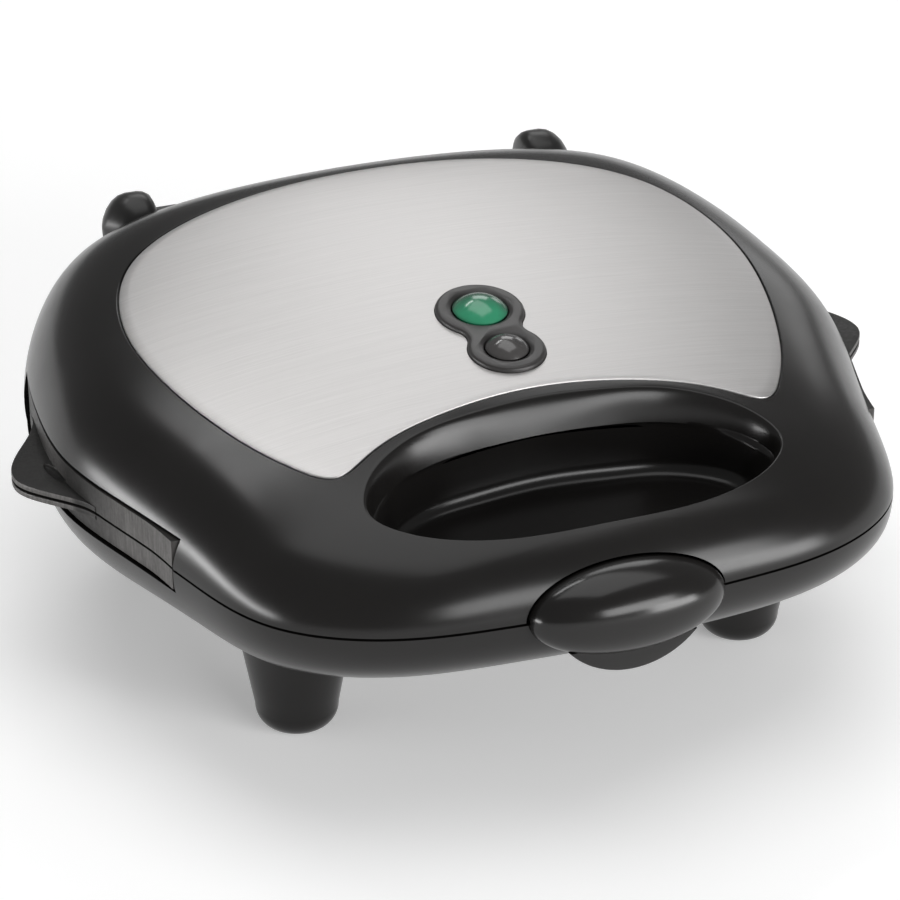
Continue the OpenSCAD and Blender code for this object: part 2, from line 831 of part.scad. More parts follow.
// ==== Heating ====
element_front_y = pan_front_y + element_inset;
element_back_y = pan_back_y - element_inset;
element_bend = 18;
element_gap = 12;
stud_y = pan_back_y + hole_gap + 2.6;
element_end_y = stud_y + 1.4;
module rod(p, q, r) {
    d = q - p;
    translate(p)
        rotate([0, acos(d[2] / norm(d)), atan2(d[1], d[0])])
            cylinder(r = r, h = norm(d), $fn = 32);
}
module bend(x, y, a, r) {
    translate([x, y, element_z])
        rotate([0, 0, a])
            rotate_extrude(angle = 90, $fn = 48)
                translate([r, 0])
                    circle(r = element_r, $fn = 32);
}
module element() {
    b = element_bend;
    w = element_half_w;
    color(c_steel) {
        rod([b - w, element_front_y, element_z], [w - b, element_front_y, element_z], element_r);
        both() {
            rod([w, element_front_y + b, element_z], [w, element_back_y - b, element_z], element_r);
            bend(w - b, element_front_y + b, -90, b);
            bend(w - b, element_back_y - b, 0, b);
            rod([w - b, element_back_y, element_z],
                [2 * element_gap, element_back_y, element_z], element_r);
            bend(2 * element_gap, element_back_y + element_gap, 180, element_gap);
            rod([element_gap, element_back_y + element_gap, element_z],
                [element_gap, element_end_y, element_z], element_r);
        }
    }
}

// Shallow tray behind the element; its outline follows the covers
reflector_share = 0.74;
reflector_lip = 3;
reflector_front = 15;
module reflector_outline(t) {
    intersection() {
        polygon(inset(shrink(body_outline, core, reflector_share), t));
        translate([t - pan_half_w, element_front_y - reflector_front + t])
            square([2 * (pan_half_w - t), pan_back_y - 4 - element_front_y + reflector_front - 2 * t]);
    }
}
module reflector() {
    color(c_tin)
        difference() {
            translate([0, 0, reflector_z - reflector_lip])
                linear_extrude(reflector_lip + reflector_t)
                    reflector_outline(0);
            translate([0, 0, reflector_z - reflector_lip - cut])
                linear_extrude(reflector_lip + cut)
                    reflector_outline(reflector_t);
            // the element's cold ends pass through the back lip
            both()
                translate([element_gap, element_back_y + element_gap, reflector_z - reflector_lip - cut])
                    translate([-element_r - 1, 0, 0])
                        cube([2 * element_r + 2, big, reflector_lip + cut]);
        }
}

// Ceramic block on the deck behind the plate, with a brass stud over each end of the element
block_h = 9;
module terminal() {
    z = flange_z + deck_t;
    color(c_ceramic)
        difference() {
            translate([-2 * element_gap, stud_y - 2.4, z])
                cube([4 * element_gap, 8, block_h]);
            both()
                translate([element_gap, stud_y, z + 3])
                    cylinder(r = 1.4, h = block_h, $fn = 24);
        }
}
module studs() {
    z = flange_z + deck_t;
    color(c_brass)
        both()
            translate([element_gap, stud_y, z + 3])
                cylinder(r = 1.3, h = element_z - element_r - z - 3 - touch, $fn = 24);
}

// ==== Small pieces of the lid ====
screw_l = 12;
module upper_frame_screw(z) {
    translate([0, 0, z])
        rotate_extrude($fn = 32)
            polygon([[0, 0], [screw_head_r, 0], [screw_r, 1.6], [screw_r, screw_l], [0, screw_l + 0.6]]);
}
module lid_screws() {
    color(c_zinc) {
        at_corners(screw_front[0], screw_front[1], screw_front[1])
            upper_frame_screw(nose_z);
        at_corners(screw_back[0], screw_back[1], screw_back[1])
            upper_frame_screw(flange_z);
    }
}
pin_end = latch_cheek[0] + latch_cheek[1];
module latch_pin() {
    color(c_steel)
        translate([-pin_end, -latch_y, latch_z])
            rotate([0, 90, 0])
                cylinder(r = latch_pin_r, h = 2 * pin_end, $fn = 40);
}
module thermal_fuse() {
    color(c_tin)
        translate([-9, pillar_back_y - 30, reflector_top + 2.1])
            rotate([0, 90, 0])
                rotate_extrude($fn = 32)
                    polygon([
                        [0, -8], [0.5, -8], [0.5, 0], [2, 0.5], [2, 11.5], [0.5, 12], [0.5, 26], [0, 26]
                    ]);
}
module thermostat() {
    color(c_ceramic)
        flip()
            translate([0, pillar_front_y + 20, reflector_top])
                rotate_extrude($fn = 40)
                    polygon([[0, 0], [11, 0], [11, 0.8], [8, 0.8], [8, 4.4], [3, 4.4], [3, 5.4], [0, 5.4]]);
}

// ==== Latch ====
hook_x = [8, 5];
hook_z = parting_z - 7;
hook_tip = 2.8;
module latch() {
    color(c_gloss)
        difference() {
            union() {
                difference() {
                    latch_barrel(0, 64, 7.5);
                    // clear of the base's front wall, and open towards the inside of the lid
                    translate([0, 0, parting_z - base_drop])
                        linear_extrude(lid_rim + 0.9 - parting_z + base_drop)
                            polygon(inset(body_outline, -seat_gap));
                    translate([-big / 2, 4 - latch_y, 0])
                        cube([big, big, big]);
                }
                tongue();
                both()
                    hook();
            }
            both()
                translate([latch_cheek[0] - fit, -latch_y, latch_z])
                    cheek_slot(cheek_r + fit);
            translate([-spring_half_w - fit, -latch_y, latch_z])
                rotate([0, 90, 0])
                    cylinder(r = spring_r + fit, h = 2 * (spring_half_w + fit), $fn = 40);
            translate([-spring_half_w - fit, -latch_y, latch_z - spring_r - fit])
                cube([2 * (spring_half_w + fit), big, 2 * (spring_r + fit)]);
            translate([-pin_end - 1, -latch_y, latch_z])
                rotate([0, 90, 0])
                    cylinder(r = latch_pin_r + slip, h = 2 * (pin_end + 1), $fn = 40);
        }
}
// Slot round a cheek, open below and to the back, where its ceiling rises for the latch's turn
module cheek_slot(r) {
    w = latch_cheek[1] + 2 * fit;
    rotate([0, 90, 0])
        cylinder(r = r, h = w, $fn = 40);
    rotate([90, 0, 90])
        linear_extrude(w)
            polygon([
                [-r, -big], [-r, 0], [0, r], [cheek_l, r + 0.3 * cheek_l], [big, r + 0.3 * cheek_l],
                [big, -big]
            ]);
}
// Half-moon under the barrel
tongue_t = 2.4;
tongue_out = 1.8;
tongue_z = parting_z - 17.4;
module tongue() {
    intersection() {
        translate([0, -end_y - tongue_out, tongue_z + tongue_r])
            rotate([90, 0, 0])
                cylinder(r = tongue_r, h = tongue_t, $fn = 80);
        translate([-big / 2, -big, 0])
            cube([big, big, barrel_z - latch_r + 4]);
    }
}
// Hook arm that reaches through the nose decks of both halves
module hook() {
    y = -latch_y;
    translate([hook_x[0], 0, 0])
        rotate([90, 0, 90])
            linear_extrude(hook_x[1])
                polygon([
                    [y - 1, latch_z], [y - 1, hook_z], [y + 0.4, hook_z], [y + hook_tip, hook_z + 2],
                    [y + hook_tip - 1.6, hook_z + 2.4], [y + hook_tip - 1.6, latch_z]
                ]);
}
spring_half_w = 6;
spring_r = latch_pin_r + 1.5;
module latch_spring() {
    color(c_steel)
        translate([-spring_half_w, -latch_y, latch_z])
            rotate([0, 90, 0])
                difference() {
                    cylinder(r = spring_r, h = 2 * spring_half_w, $fn = 40);
                    translate([0, 0, -cut])
                        cylinder(r = latch_pin_r + 0.3, h = 2 * spring_half_w + 2 * cut, $fn = 40);
                }
}

// ==== Base ====
pad_r = 5.6;
pad_t = 2.4;
pad_out = 0.5;
socket_z = parting_z - 15.5;
gland_z = parting_z - 14;
gland_r = 6;
gland_bore = 3.6;
gland_flange = 8.5;
gland_neck = 6.5;
gland_l = 18;
gland_seat_y = end_y - 0.2;
foot_in = 12;
module foot() {
    top = parting_z - base_drop + foot_in;
    rotate_extrude($fn = 24)
        polygon([
            [0, pad_out], [foot_r - 6, pad_out], [foot_r - 4.2, 1.6], [foot_r - 2, 3.2],
            [foot_r - 0.6, 5], [foot_r, 7.2], [foot_top_r + 1, top], [0, top]
        ]);
}
module lower_cover() {
    color(c_gloss)
        difference() {
            union() {
                difference() {
                    union() {
                        base_space(0);
                        at_corners(foot_x, foot_front_y, foot_back_y)
                            foot();
                        // flat seat for the cord gland
                        translate([0, gland_seat_y - touch, gland_z])
                            rotate([90, 0, 0])
                                cylinder(r = gland_flange + 1, h = gland_neck, $fn = 32);
                    }
                    base_space(wall);
                }
                intersection() {
                    base_space(wall / 2);
                    union() {
                        at_corners(screw_front[0], screw_front[1], screw_front[1])
                            boss(6.5, 5.5, 20, socket_z);
                        at_corners(screw_back[0], screw_back[1], screw_back[1])
                            boss(6.5, 5.5, 20, socket_z);
                        at_corners(pillar_x, pillar_front_y, pillar_back_y)
                            boss(4, 3, 15, 2 * parting_z - reflector_top - touch);
                    }
                }
            }
            at_corners(foot_x, foot_front_y, foot_back_y)
                translate([0, 0, -cut])
                    cylinder(r = pad_r + touch, h = pad_t + cut, $fn = 20);
            at_screws() {
                translate([0, 0, -big + socket_z - 2.4])
                    cylinder(r = screw_head_r + fit, h = big, $fn = 12);
                cylinder(r = screw_r + touch, h = socket_z + cut, $fn = 12);
            }
            side_notch(parting_z - notch_drop, base_rim + cut);
            both()
                translate([hinge_x - hinge_w / 2 - 0.5, hinge_y - ear_room, ear_z - 0.5])
                    cube([hinge_w + 1, 40, big]);
            translate([-hook_x[0] - hook_x[1] - 2, -big, hook_z - 2])
                cube([2 * (hook_x[0] + hook_x[1] + 2), big - latch_y + hook_tip + 2 * fit, big]);
            translate([0, end_y + 10, gland_z])
                rotate([90, 0, 0])
                    cylinder(r = gland_r + 0.1, h = 30, $fn = 32);
        }
}
module at_screws() {
    at_corners(screw_front[0], screw_front[1], screw_front[1])
        children();
    at_corners(screw_back[0], screw_back[1], screw_back[1])
        children();
}

// Moulded deck with the hinge ears, the screw sockets and the latch's catch edge
ear_drop = 16;
ear_z = parting_z - ear_drop;
ear_room = 15;
module lower_frame() {
    color(c_frame)
        difference() {
            union() {
                flip()
                    deck(big);
                both()
                    hinge_ear();
                at_corners(screw_front[0], screw_front[1], screw_front[1])
                    translate([0, 0, socket_z])
                        cylinder(r = 4, h = 2 * parting_z - nose_z - socket_z, $fn = 40);
                at_corners(screw_back[0], screw_back[1], screw_back[1])
                    translate([0, 0, socket_z])
                        cylinder(r = 4, h = 2 * parting_z - flange_z - socket_z - 0.2, $fn = 40);
            }
            at_screws()
                cylinder(r = screw_r, h = socket_z + 9, $fn = 32);
            translate([-hook_x[0] - hook_x[1] - 1, -big, 0])
                cube([2 * (hook_x[0] + hook_x[1] + 1), big - latch_y + hook_tip + fit, big]);
        }
}
// Ear: a rounded dome about the axis, drawn down to a narrower foot in the base's wall
hinge_dome = [
    [0, 0.45], [0.3, 0.7], [1.2, 0.87], [2.8, 0.97], [4.6, 1], [8.2, 1], [10.4, 0.95],
    [12.4, 0.83], [14.4, 0.62], [16, 0.36], [16.9, 0.12]
];
module hinge_ear() {
    x0 = hinge_x - hinge_w / 2;
    difference() {
        hull() {
            translate([x0, hinge_y, hinge_z])
                rotate([0, 90, 0])
                    rotate_extrude($fn = 48)
                        polygon(concat(
                            [[0, 0]], [for (k = hinge_dome) [k[1] * hinge_r, k[0]]], [[0, hinge_w]]
                        ));
            translate([x0 + 2, 0, 0])
                rotate([90, 0, 90])
                    linear_extrude(hinge_w - 5)
                        polygon([
                            [hinge_y - 8, ear_z + 9], [hinge_y - 6, ear_z], [hinge_y - 2, ear_z],
                            [hinge_y + 2.5, ear_z + 5], [hinge_y + 6, ear_z + 14]
                        ]);
        }
        translate([x0 - cut, hinge_y, hinge_z])
            rotate([0, 90, 0])
                cylinder(r = hinge_pin_r, h = pin_depth + cut, $fn = 40);
    }
}
pin_depth = 11;
module hinge_pin() {
    color(c_steel)
        translate([lug_in, hinge_y, hinge_z])
            rotate([0, 90, 0])
                cylinder(r = hinge_pin_r, h = hinge_x - hinge_w / 2 + pin_depth - lug_in, $fn = 40);
}
module base_screws() {
    color(c_zinc)
        at_screws()
            translate([0, 0, socket_z - 4.6])
                rotate_extrude($fn = 32)
                    polygon([
                        [0, 0], [2.2, 0], [screw_head_r, 0.8], [screw_head_r, 2.2],
                        [screw_r - 0.02, 2.2], [screw_r - 0.02, 12.5], [0, 13.1]
                    ]);
}
module foot_pads() {
    color(c_rubber)
        at_corners(foot_x, foot_front_y, foot_back_y)
            rotate_extrude($fn = 48)
                polygon([[0, 0], [pad_r - 0.8, 0], [pad_r, 0.8], [pad_r, pad_t], [0, pad_t]]);
}
module cord_gland() {
    color(c_frame)
        translate([0, gland_seat_y - gland_neck, gland_z])
            rotate([-90, 0, 0])
                rotate_extrude($fn = 48)
                    polygon([
                        [gland_bore, 0], [gland_r, 0], [gland_r, gland_neck], [gland_flange, gland_neck],
                        [gland_flange, gland_neck + 2], [gland_r + 0.4, gland_neck + 3.5],
                        [gland_r - 0.6, gland_l], [gland_bore, gland_l]
                    ]);
}

upper_cover();
top_panel();
light_bezel();
ready_lens();
power_lens();
indicator_lamps();
upper_frame();
plate(notch_rise);  // upper_plate
element();  // upper_element
reflector();  // upper_reflector
clips();  // upper_clips
terminal();  // upper_terminal
studs();  // upper_studs
thermal_fuse();
lid_screws();
latch_pin();
latch_spring();
latch();
lower_cover();
lower_frame();
flip() plate(notch_drop);  // lower_plate
flip() element();  // lower_element
flip() reflector();  // lower_reflector
flip() clips();  // lower_clips
flip() terminal();  // lower_terminal
flip() studs();  // lower_studs
thermostat();
base_screws();
foot_pads();
mirror([1, 0, 0]) hinge_pin();  // hinge_pin_left
hinge_pin();  // hinge_pin_right
cord_gland();
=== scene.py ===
# Sandwich toaster: black moulded covers, a brushed panel let into the lid, cast plates with side
# ears, a barrel latch and tall feet. Lengths are written in millimetres and become metres when a
# mesh is made.
import math

import bmesh
import bpy
import numpy as np
from mathutils import Matrix, Vector
from mathutils.bvhtree import BVHTree


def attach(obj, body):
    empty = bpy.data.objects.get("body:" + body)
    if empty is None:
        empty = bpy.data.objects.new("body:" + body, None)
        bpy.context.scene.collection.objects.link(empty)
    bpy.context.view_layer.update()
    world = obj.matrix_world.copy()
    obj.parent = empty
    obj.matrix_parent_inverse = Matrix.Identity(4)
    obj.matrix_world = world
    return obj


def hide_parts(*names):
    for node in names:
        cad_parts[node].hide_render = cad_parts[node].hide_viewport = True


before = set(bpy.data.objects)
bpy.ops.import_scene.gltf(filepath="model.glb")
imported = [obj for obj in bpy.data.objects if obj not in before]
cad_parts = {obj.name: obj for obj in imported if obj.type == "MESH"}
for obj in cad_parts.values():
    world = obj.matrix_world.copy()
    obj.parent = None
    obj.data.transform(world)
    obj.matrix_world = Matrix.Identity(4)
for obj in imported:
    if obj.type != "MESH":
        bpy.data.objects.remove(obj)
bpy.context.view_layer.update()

# ---- Upper cover -------------------------------------------------------------------------------
# One moulding in glossy black plastic: a flat dome that turns down steeply to its rim, with a
# finger well sunk into it behind the latch. It is screwed to the frame from inside.
parting_z = 63.7
lid_rim, base_rim = 64.1, 63.3
wall = 2.4


def even_steps(line, count):
    """The closed line, whose last point is its first, as count points at even steps."""
    s = np.concatenate([[0], np.cumsum(np.linalg.norm(np.diff(line, axis=0), axis=1))])
    even = np.linspace(0, s[-1], count, endpoint=False)
    return np.stack([np.interp(even, s, line[:, k]) for k in (0, 1)], axis=1)


def closed_curve(keys, count):
    """Smooth closed curve through the keys, as count points at even steps: a cubic spline without
    ends, where m holds the bending at each key."""
    p = np.array(keys, float)
    n = len(p)
    q = np.vstack([p, p[:1]])
    h = np.linalg.norm(np.diff(q, axis=0), axis=1)
    t = np.concatenate([[0], np.cumsum(h)])
    a, b = np.zeros((n, n)), np.zeros((n, 2))
    for i in range(n):
        a[i, i - 1] += h[i - 1]
        a[i, i] += 2 * (h[i - 1] + h[i])
        a[i, (i + 1) % n] += h[i]
        b[i] = 6 * ((q[i + 1] - q[i]) / h[i] - (p[i] - p[i - 1]) / h[i - 1])
    m = np.linalg.solve(a, b)
    m = np.vstack([m, m[:1]])
    u = np.linspace(0, t[-1], 40 * n + 1)
    i = np.clip(np.searchsorted(t, u, side="right") - 1, 0, n - 1)
    d, e, w = (u - t[i])[:, None], (t[i + 1] - u)[:, None], h[i][:, None]
    fine = ((m[i] * e**3 + m[i + 1] * d**3) / (6 * w) + (q[i] / w - m[i] * w / 6) * e
            + (q[i + 1] / w - m[i + 1] * w / 6) * d)
    return even_steps(fine, count)


def mirrored(half):
    """A half outline from the back middle to the front middle, made whole."""
    return list(half) + [(-x, y) for x, y in reversed(half[1:-1])]


def grown(curve, d):
    """The curve pushed out by d, square to itself."""
    along = np.roll(curve, -1, axis=0) - np.roll(curve, 1, axis=0)
    out = np.stack([-along[:, 1], along[:, 0]], axis=1)
    return curve + d * out / np.linalg.norm(out, axis=1)[:, None]


def reach(curve, centre):
    """Distance from the centre to the curve, as a function of the angle."""
    d = curve - np.array(centre)
    angle = np.arctan2(d[:, 1], d[:, 0])
    order = np.argsort(angle)
    angle, far = angle[order], np.hypot(d[:, 0], d[:, 1])[order]
    angle = np.concatenate([angle[-1:] - 2 * math.pi, angle, angle[:1] + 2 * math.pi])
    far = np.concatenate([far[-1:], far, far[:1]])
    return lambda a: np.interp(a, angle, far)


body_w, body_d = 250, 230
body_keys = mirrored([(x * body_w / 2, y * body_d / 2) for x, y in (
    (0, 1), (0.25, 1), (0.52, 0.99), (0.79, 0.905), (0.94, 0.64), (0.995, 0.33), (1, 0.05),
    (0.935, -0.22), (0.86, -0.49), (0.755, -0.77), (0.53, -0.935), (0.25, -0.985), (0, -1))])
core = np.array((0.0, 5.0))
# points round an outline: for a look-up, a visible skin and a hidden inside
look_up, around, around_inside = 3000, 420, 96
body_reach = reach(closed_curve(body_keys, look_up), core)
# the dome's top line lies behind the cover; two radii bend it across and from back to front
crown_z, crown_y, crown_rx, crown_ry = 113.5, 132, 500, 1040
# how far the dome keeps its height towards the rim, and how it turns down there
lid_full, lid_turn = 12.8, 0.64


def crown(x, y):
    """Height of the dome before it turns down to the rim."""
    return crown_z - x**2 / (2 * crown_rx) - (y - crown_y) ** 2 / (2 * crown_ry)


def lid_height(xy, t=0.0):
    """Height of the lid's skin at points xy, drawn in by t."""
    x, y = xy[..., 0], xy[..., 1]
    r = np.hypot(x - core[0], y - core[1])
    rho = r / (body_reach(np.arctan2(y - core[1], x - core[0])) - t)
    share = np.clip(1 - rho**lid_full, 0, None) ** lid_turn
    return lid_rim + (crown(x, y) - lid_rim) * share - t


well_w, well_d, well_front = 125, 52.4, -102.2
well_z, well_foot_r = 68.7, 5.0
lip_front, lip_back = 1.8, 5.2
well_core = np.array((0.0, -80.0))
well_keys = mirrored([(x * well_w / 2, well_front + well_d * (1 - y)) for x, y in (
    (0, 0), (0.33, 0.03), (0.60, 0.09), (0.82, 0.22), (0.96, 0.40), (1, 0.57),
    (0.91, 0.74), (0.70, 0.89), (0.40, 0.975), (0, 1))])
well_reach = reach(closed_curve(well_keys, look_up), well_core)


def pull(curve, centre, d):
    """Points moved towards the centre by d."""
    v = curve - centre
    far = np.linalg.norm(v, axis=1)[:, None]
    return centre + v * (1 - np.reshape(d, (-1, 1)) / far)


def level(curve, z):
    """The curve's points at height z."""
    return np.column_stack([curve, np.broadcast_to(z, len(curve))])


def lid_rings(count, t=0.0):
    """Rings of the lid's skin from its rim to the middle of the well's floor, drawn in by t."""
    rim = grown(closed_curve(body_keys, count), -t)
    v = rim - well_core
    angle = np.arctan2(v[:, 1], v[:, 0])
    ray = np.stack([np.cos(angle), np.sin(angle)], axis=1)
    mouth = well_core + ray * (well_reach(angle) + t)[:, None]
    gap = np.linalg.norm(mouth - rim, axis=1)
    # close steps where the skin is steep, up to 0.86 of its height, and even steps over the dome
    s, mean_reach = np.linspace(0, 0.86, 22), 112
    steep = mean_reach * (1 - (1 - s ** (1 / lid_turn)) ** (1 / lid_full))
    rings = [level(rim, lid_rim - 3 * t)] if t else []
    squeeze = np.minimum(1, 0.9 * gap / steep[-1])
    steps = [d * squeeze for d in steep]
    steps += [steps[-1] + (gap - steps[-1]) * k for k in np.linspace(0, 1, 40)[1:]]
    for d in steps:
        xy = rim + (mouth - rim) * (d / gap)[:, None]
        rings.append(level(xy, lid_height(xy, t)))
    edge = rings[-1]
    far = (edge[:, 1] - well_front) / well_d
    # a small round in front grows into a deep roll behind, under which the wall stands back to give
    # fingertips a hold
    share = far**2
    lip_deep = 2.5 + 7.5 * far
    for a in np.radians(np.linspace(0, 90, 20)[1:]):
        sunk = 1 - math.cos(a)
        lip_in = (1 - share) * lip_front * math.sin(a) + share * lip_back * sunk**0.6
        rings.append(level(pull(mouth, well_core, lip_in), edge[:, 2] - lip_deep * sunk))
    # the wall leans inwards in front; behind, it has stepped back by a seventh of its height
    top, foot_in, stepped = rings[-1][:, 2], 7.5 - 6.0 * share, 0.14
    for k in (0.02, 0.05, 0.09, stepped, 0.2, 0.35, 0.6, 0.8, 1.0):
        d = lip_in + (foot_in - lip_in) * (k + share * (min(1.0, k / stepped) ** 0.7 - k))
        rings.append(level(pull(mouth, well_core, d), top + (well_z - t + well_foot_r - top) * k))
    for a in np.radians(np.linspace(0, 90, 8)[1:]):
        d = foot_in + well_foot_r * (1 - math.cos(a))
        z = well_z - t + well_foot_r * (1 - math.sin(a))
        rings.append(level(pull(mouth, well_core, d), z))
    floor = rings[-1][:, :2]
    rings += [level(well_core + (floor - well_core) * k, well_z - t) for k in (0.8, 0.55, 0.3)]
    return rings + [np.array([[*well_core, well_z - t]])]


def circle(centre, r, sides=96, upright=False):
    """Ring of points round the centre, level or, when upright, square to X."""
    x, y, z = centre
    a = np.linspace(0, 2 * math.pi, sides, endpoint=False)
    if upright:
        return np.column_stack([np.full(sides, x), y + r * np.cos(a), z + r * np.sin(a)])
    return np.column_stack([x + r * np.cos(a), y + r * np.sin(a), np.full(sides, z)])


def ring_mesh(name, rings, ends=True):
    """Closed mesh through rings of points; a ring of one point is a pole."""
    verts, faces, start = [], [], []
    for r in rings:
        start.append(len(verts))
        verts += [tuple(v / 1000 for v in p) for p in r]
    for k in range(len(rings) - 1):
        a, b, n, m = start[k], start[k + 1], len(rings[k]), len(rings[k + 1])
        for i in range(max(n, m)):
            j = (i + 1) % max(n, m)
            if n == 1:
                faces.append((a, b + i, b + j))
            elif m == 1:
                faces.append((a + j, a + i, b))
            else:
                faces.append((a + j, a + i, b + i, b + j))
    if ends and len(rings[0]) > 1:
        faces.append(tuple(range(start[0], start[0] + len(rings[0]))))
    if ends and len(rings[-1]) > 1:
        faces.append(tuple(reversed(range(start[-1], start[-1] + len(rings[-1])))))
    mesh = bpy.data.meshes.new(name)
    mesh.from_pydata(verts, [], faces)
    mesh.validate()
    piece = bpy.data.objects.new(name, mesh)
    bpy.context.scene.collection.objects.link(piece)
    outward(mesh)
    return piece


def outward(mesh):
    """Turns every face of a closed mesh outwards."""
    bm = bmesh.new()
    bm.from_mesh(mesh)
    bmesh.ops.recalc_face_normals(bm, faces=bm.faces)
    if bm.calc_volume(signed=True) < 0:
        bmesh.ops.reverse_faces(bm, faces=bm.faces)
    bm.to_mesh(mesh)
    bm.free()


def block(name, low, high):
    """Plain box that cuts an opening."""
    (x0, y0, z0), (x1, y1, z1) = low, high
    ring = [(x0, y0), (x1, y0), (x1, y1), (x0, y1)]
    return ring_mesh(name, [np.array([(x, y, z) for x, y in ring]) for z in (z0, z1)])


def carve(piece, tools, operation="DIFFERENCE"):
    """Cuts the tools out of a piece, or joins them to it, and removes them."""
    for tool in tools:
        step = piece.modifiers.new("carve", "BOOLEAN")
        step.operation, step.object, step.solver = operation, tool, "MANIFOLD"
    bpy.context.view_layer.update()
    shown = piece.evaluated_get(bpy.context.evaluated_depsgraph_get())
    mesh = bpy.data.meshes.new_from_object(shown)
    piece.modifiers.clear()
    piece.data = mesh
    for tool in tools:
        bpy.data.objects.remove(tool)
    return piece


def smooth(piece, angle, like=None):
    """Smooth shading with sharp edges over the angle. Where the piece still follows like, its own
    uncut mesh, it takes that mesh's shading, so that the cuts leave no mark on the gloss."""
    mesh = piece.data
    for p in mesh.polygons:
        p.use_smooth = True
    mesh.set_sharp_from_angle(angle=math.radians(angle))
    if not like:
        return piece
    near, alike = 0.00004, 0.93  # farthest from the uncut skin, and least cosine to its slope
    normals = [Vector(n.vector) for n in mesh.corner_normals]
    like.calc_loop_triangles()
    tris = [tuple(t.vertices) for t in like.loop_triangles]
    points = [v.co.copy() for v in like.vertices]
    slopes = [v.normal.copy() for v in like.vertices]
    tree = BVHTree.FromPolygons(points, tris)
    found = []
    for v in mesh.vertices:
        hit, _, index, _ = tree.find_nearest(v.co, near)
        n = None
        if hit is not None:
            weights = barycentric(hit, *(points[k] for k in tris[index]))
            n = sum((slopes[k] * w for k, w in zip(tris[index], weights)), Vector()).normalized()
        found.append(n)
    for p in mesh.polygons:
        for loop in p.loop_indices:
            n = found[mesh.loops[loop].vertex_index]
            if n is not None and n.dot(p.normal) > alike:
                normals[loop] = n
    mesh.normals_split_custom_set(normals)
    return piece


def barycentric(p, a, b, c):
    """Shares of the corners a, b and c in the point p of their triangle."""
    u, v, w = b - a, c - a, p - a
    uu, uv, vv, wu, wv = u.dot(u), u.dot(v), v.dot(v), w.dot(u), w.dot(v)
    area = max(uu * vv - uv * uv, 1e-30)
    s, t = (vv * wu - uv * wv) / area, (uu * wv - uv * wu) / area
    return 1 - s - t, s, t


class Field:
    """A value or colour inside a material; arithmetic on it adds nodes."""

    def __init__(self, look, socket):
        self.look, self.socket = look, socket

    def _math(self, operation, a, b):
        return self.look.node("ShaderNodeMath", {"operation": operation}, {0: a, 1: b})

    def __add__(self, other):
        return self._math("ADD", self, other)

    __radd__ = __add__

    def __mul__(self, other):
        return self._math("MULTIPLY", self, other)

    def __rsub__(self, other):
        return self._math("SUBTRACT", other, self)

    def size(self):
        """The value without its sign."""
        return self.look.node("ShaderNodeMath", {"operation": "ABSOLUTE"}, {0: self})

    def axis(self, k):
        """One of a vector's three parts."""
        return self.look.node("ShaderNodeSeparateXYZ", None, {0: self}, out=k)

    def span(self, a, b, low=0.0, high=1.0):
        """Smooth change from low to high as the value goes from a to b."""
        return self.look.node("ShaderNodeMapRange", {"interpolation_type": "SMOOTHSTEP"}, {
            "Value": self, "From Min": a, "From Max": b, "To Min": low, "To Max": high})


class Look:
    """A material under construction."""

    def __init__(self, name):
        self.material = bpy.data.materials.new(name)
        self.material.use_nodes = True
        self.tree = self.material.node_tree
        self.tree.nodes.clear()
        self.place = self.node("ShaderNodeTexCoord", out="Object")

    def node(self, kind, settings=None, inputs=None, out=0):
        """Adds a node and gives the output named or numbered out."""
        made = self.tree.nodes.new(kind)
        for name, value in (settings or {}).items():
            setattr(made, name, value)
        for name, value in (inputs or {}).items():
            socket = made.inputs[name]
            if isinstance(value, Field):
                self.tree.links.new(value.socket, socket)
            elif isinstance(value, tuple) and len(value) == 3 and socket.type == "RGBA":
                socket.default_value = (*value, 1)
            else:
                socket.default_value = value
        return Field(self, made.outputs[out])

    def noise(self, scale, detail, rough, stretch=None):
        """Soft random pattern; stretch makes it finer along each axis by its own factor."""
        place = self.place
        if stretch:
            place = self.node("ShaderNodeMapping", None, {"Vector": place, "Scale": stretch})
        return self.node("ShaderNodeTexNoise", None,
                         {"Vector": place, "Scale": scale, "Detail": detail, "Roughness": rough})

    def mix(self, share, a, b):
        return self.node("ShaderNodeMix", {"data_type": "RGBA"}, {0: share, 6: a, 7: b}, out=2)

    def bump(self, height, strength, distance):
        return self.node("ShaderNodeBump", None,
                         {"Height": height, "Strength": strength, "Distance": distance})

    def finish(self, **sockets):
        """Ends in one Principled surface with these sockets and gives the material."""
        surface = self.node("ShaderNodeBsdfPrincipled", None,
                            {name.replace("_", " "): value for name, value in sockets.items()})
        self.node_out(surface)
        return self.material

    def node_out(self, surface):
        """Joins the surface to the material's output."""
        made = self.tree.nodes.new("ShaderNodeOutputMaterial")
        self.tree.links.new(surface.socket, made.inputs["Surface"])


def shade(colour, k):
    """The colour made lighter or darker by the factor k."""
    return tuple(min(1, c * k) for c in colour)


def moulded_black(name, colour, rough, shine):
    """Glossy moulded plastic: nearly even, with a faint cloudiness, handling haze and a soft
    orange peel."""
    look = Look(name)
    cloud = look.noise(9.0, 4.0, 0.55)
    grain = look.noise(900.0, 2.0, 0.6)
    haze = look.noise(45.0, 5.0, 0.6)
    tint = look.mix(cloud.span(0.35, 0.7), shade(colour, 0.85), shade(colour, 1.15))
    return look.finish(
        Base_Color=tint,
        Roughness=haze.span(0.35, 0.75, rough * 0.93, rough * 1.1) + grain * 0.02,
        Specular_IOR_Level=shine, Normal=look.bump(look.noise(110.0, 2.0, 0.5), 0.03, 0.0001))


deep_black = (0.0085, 0.0078, 0.0074)
cover_black = moulded_black("cover_black", deep_black, 0.22, 0.36)


def wear(piece, material):
    """Gives the piece this material alone."""
    piece.data.materials.clear()
    piece.data.materials.append(material)
    return piece


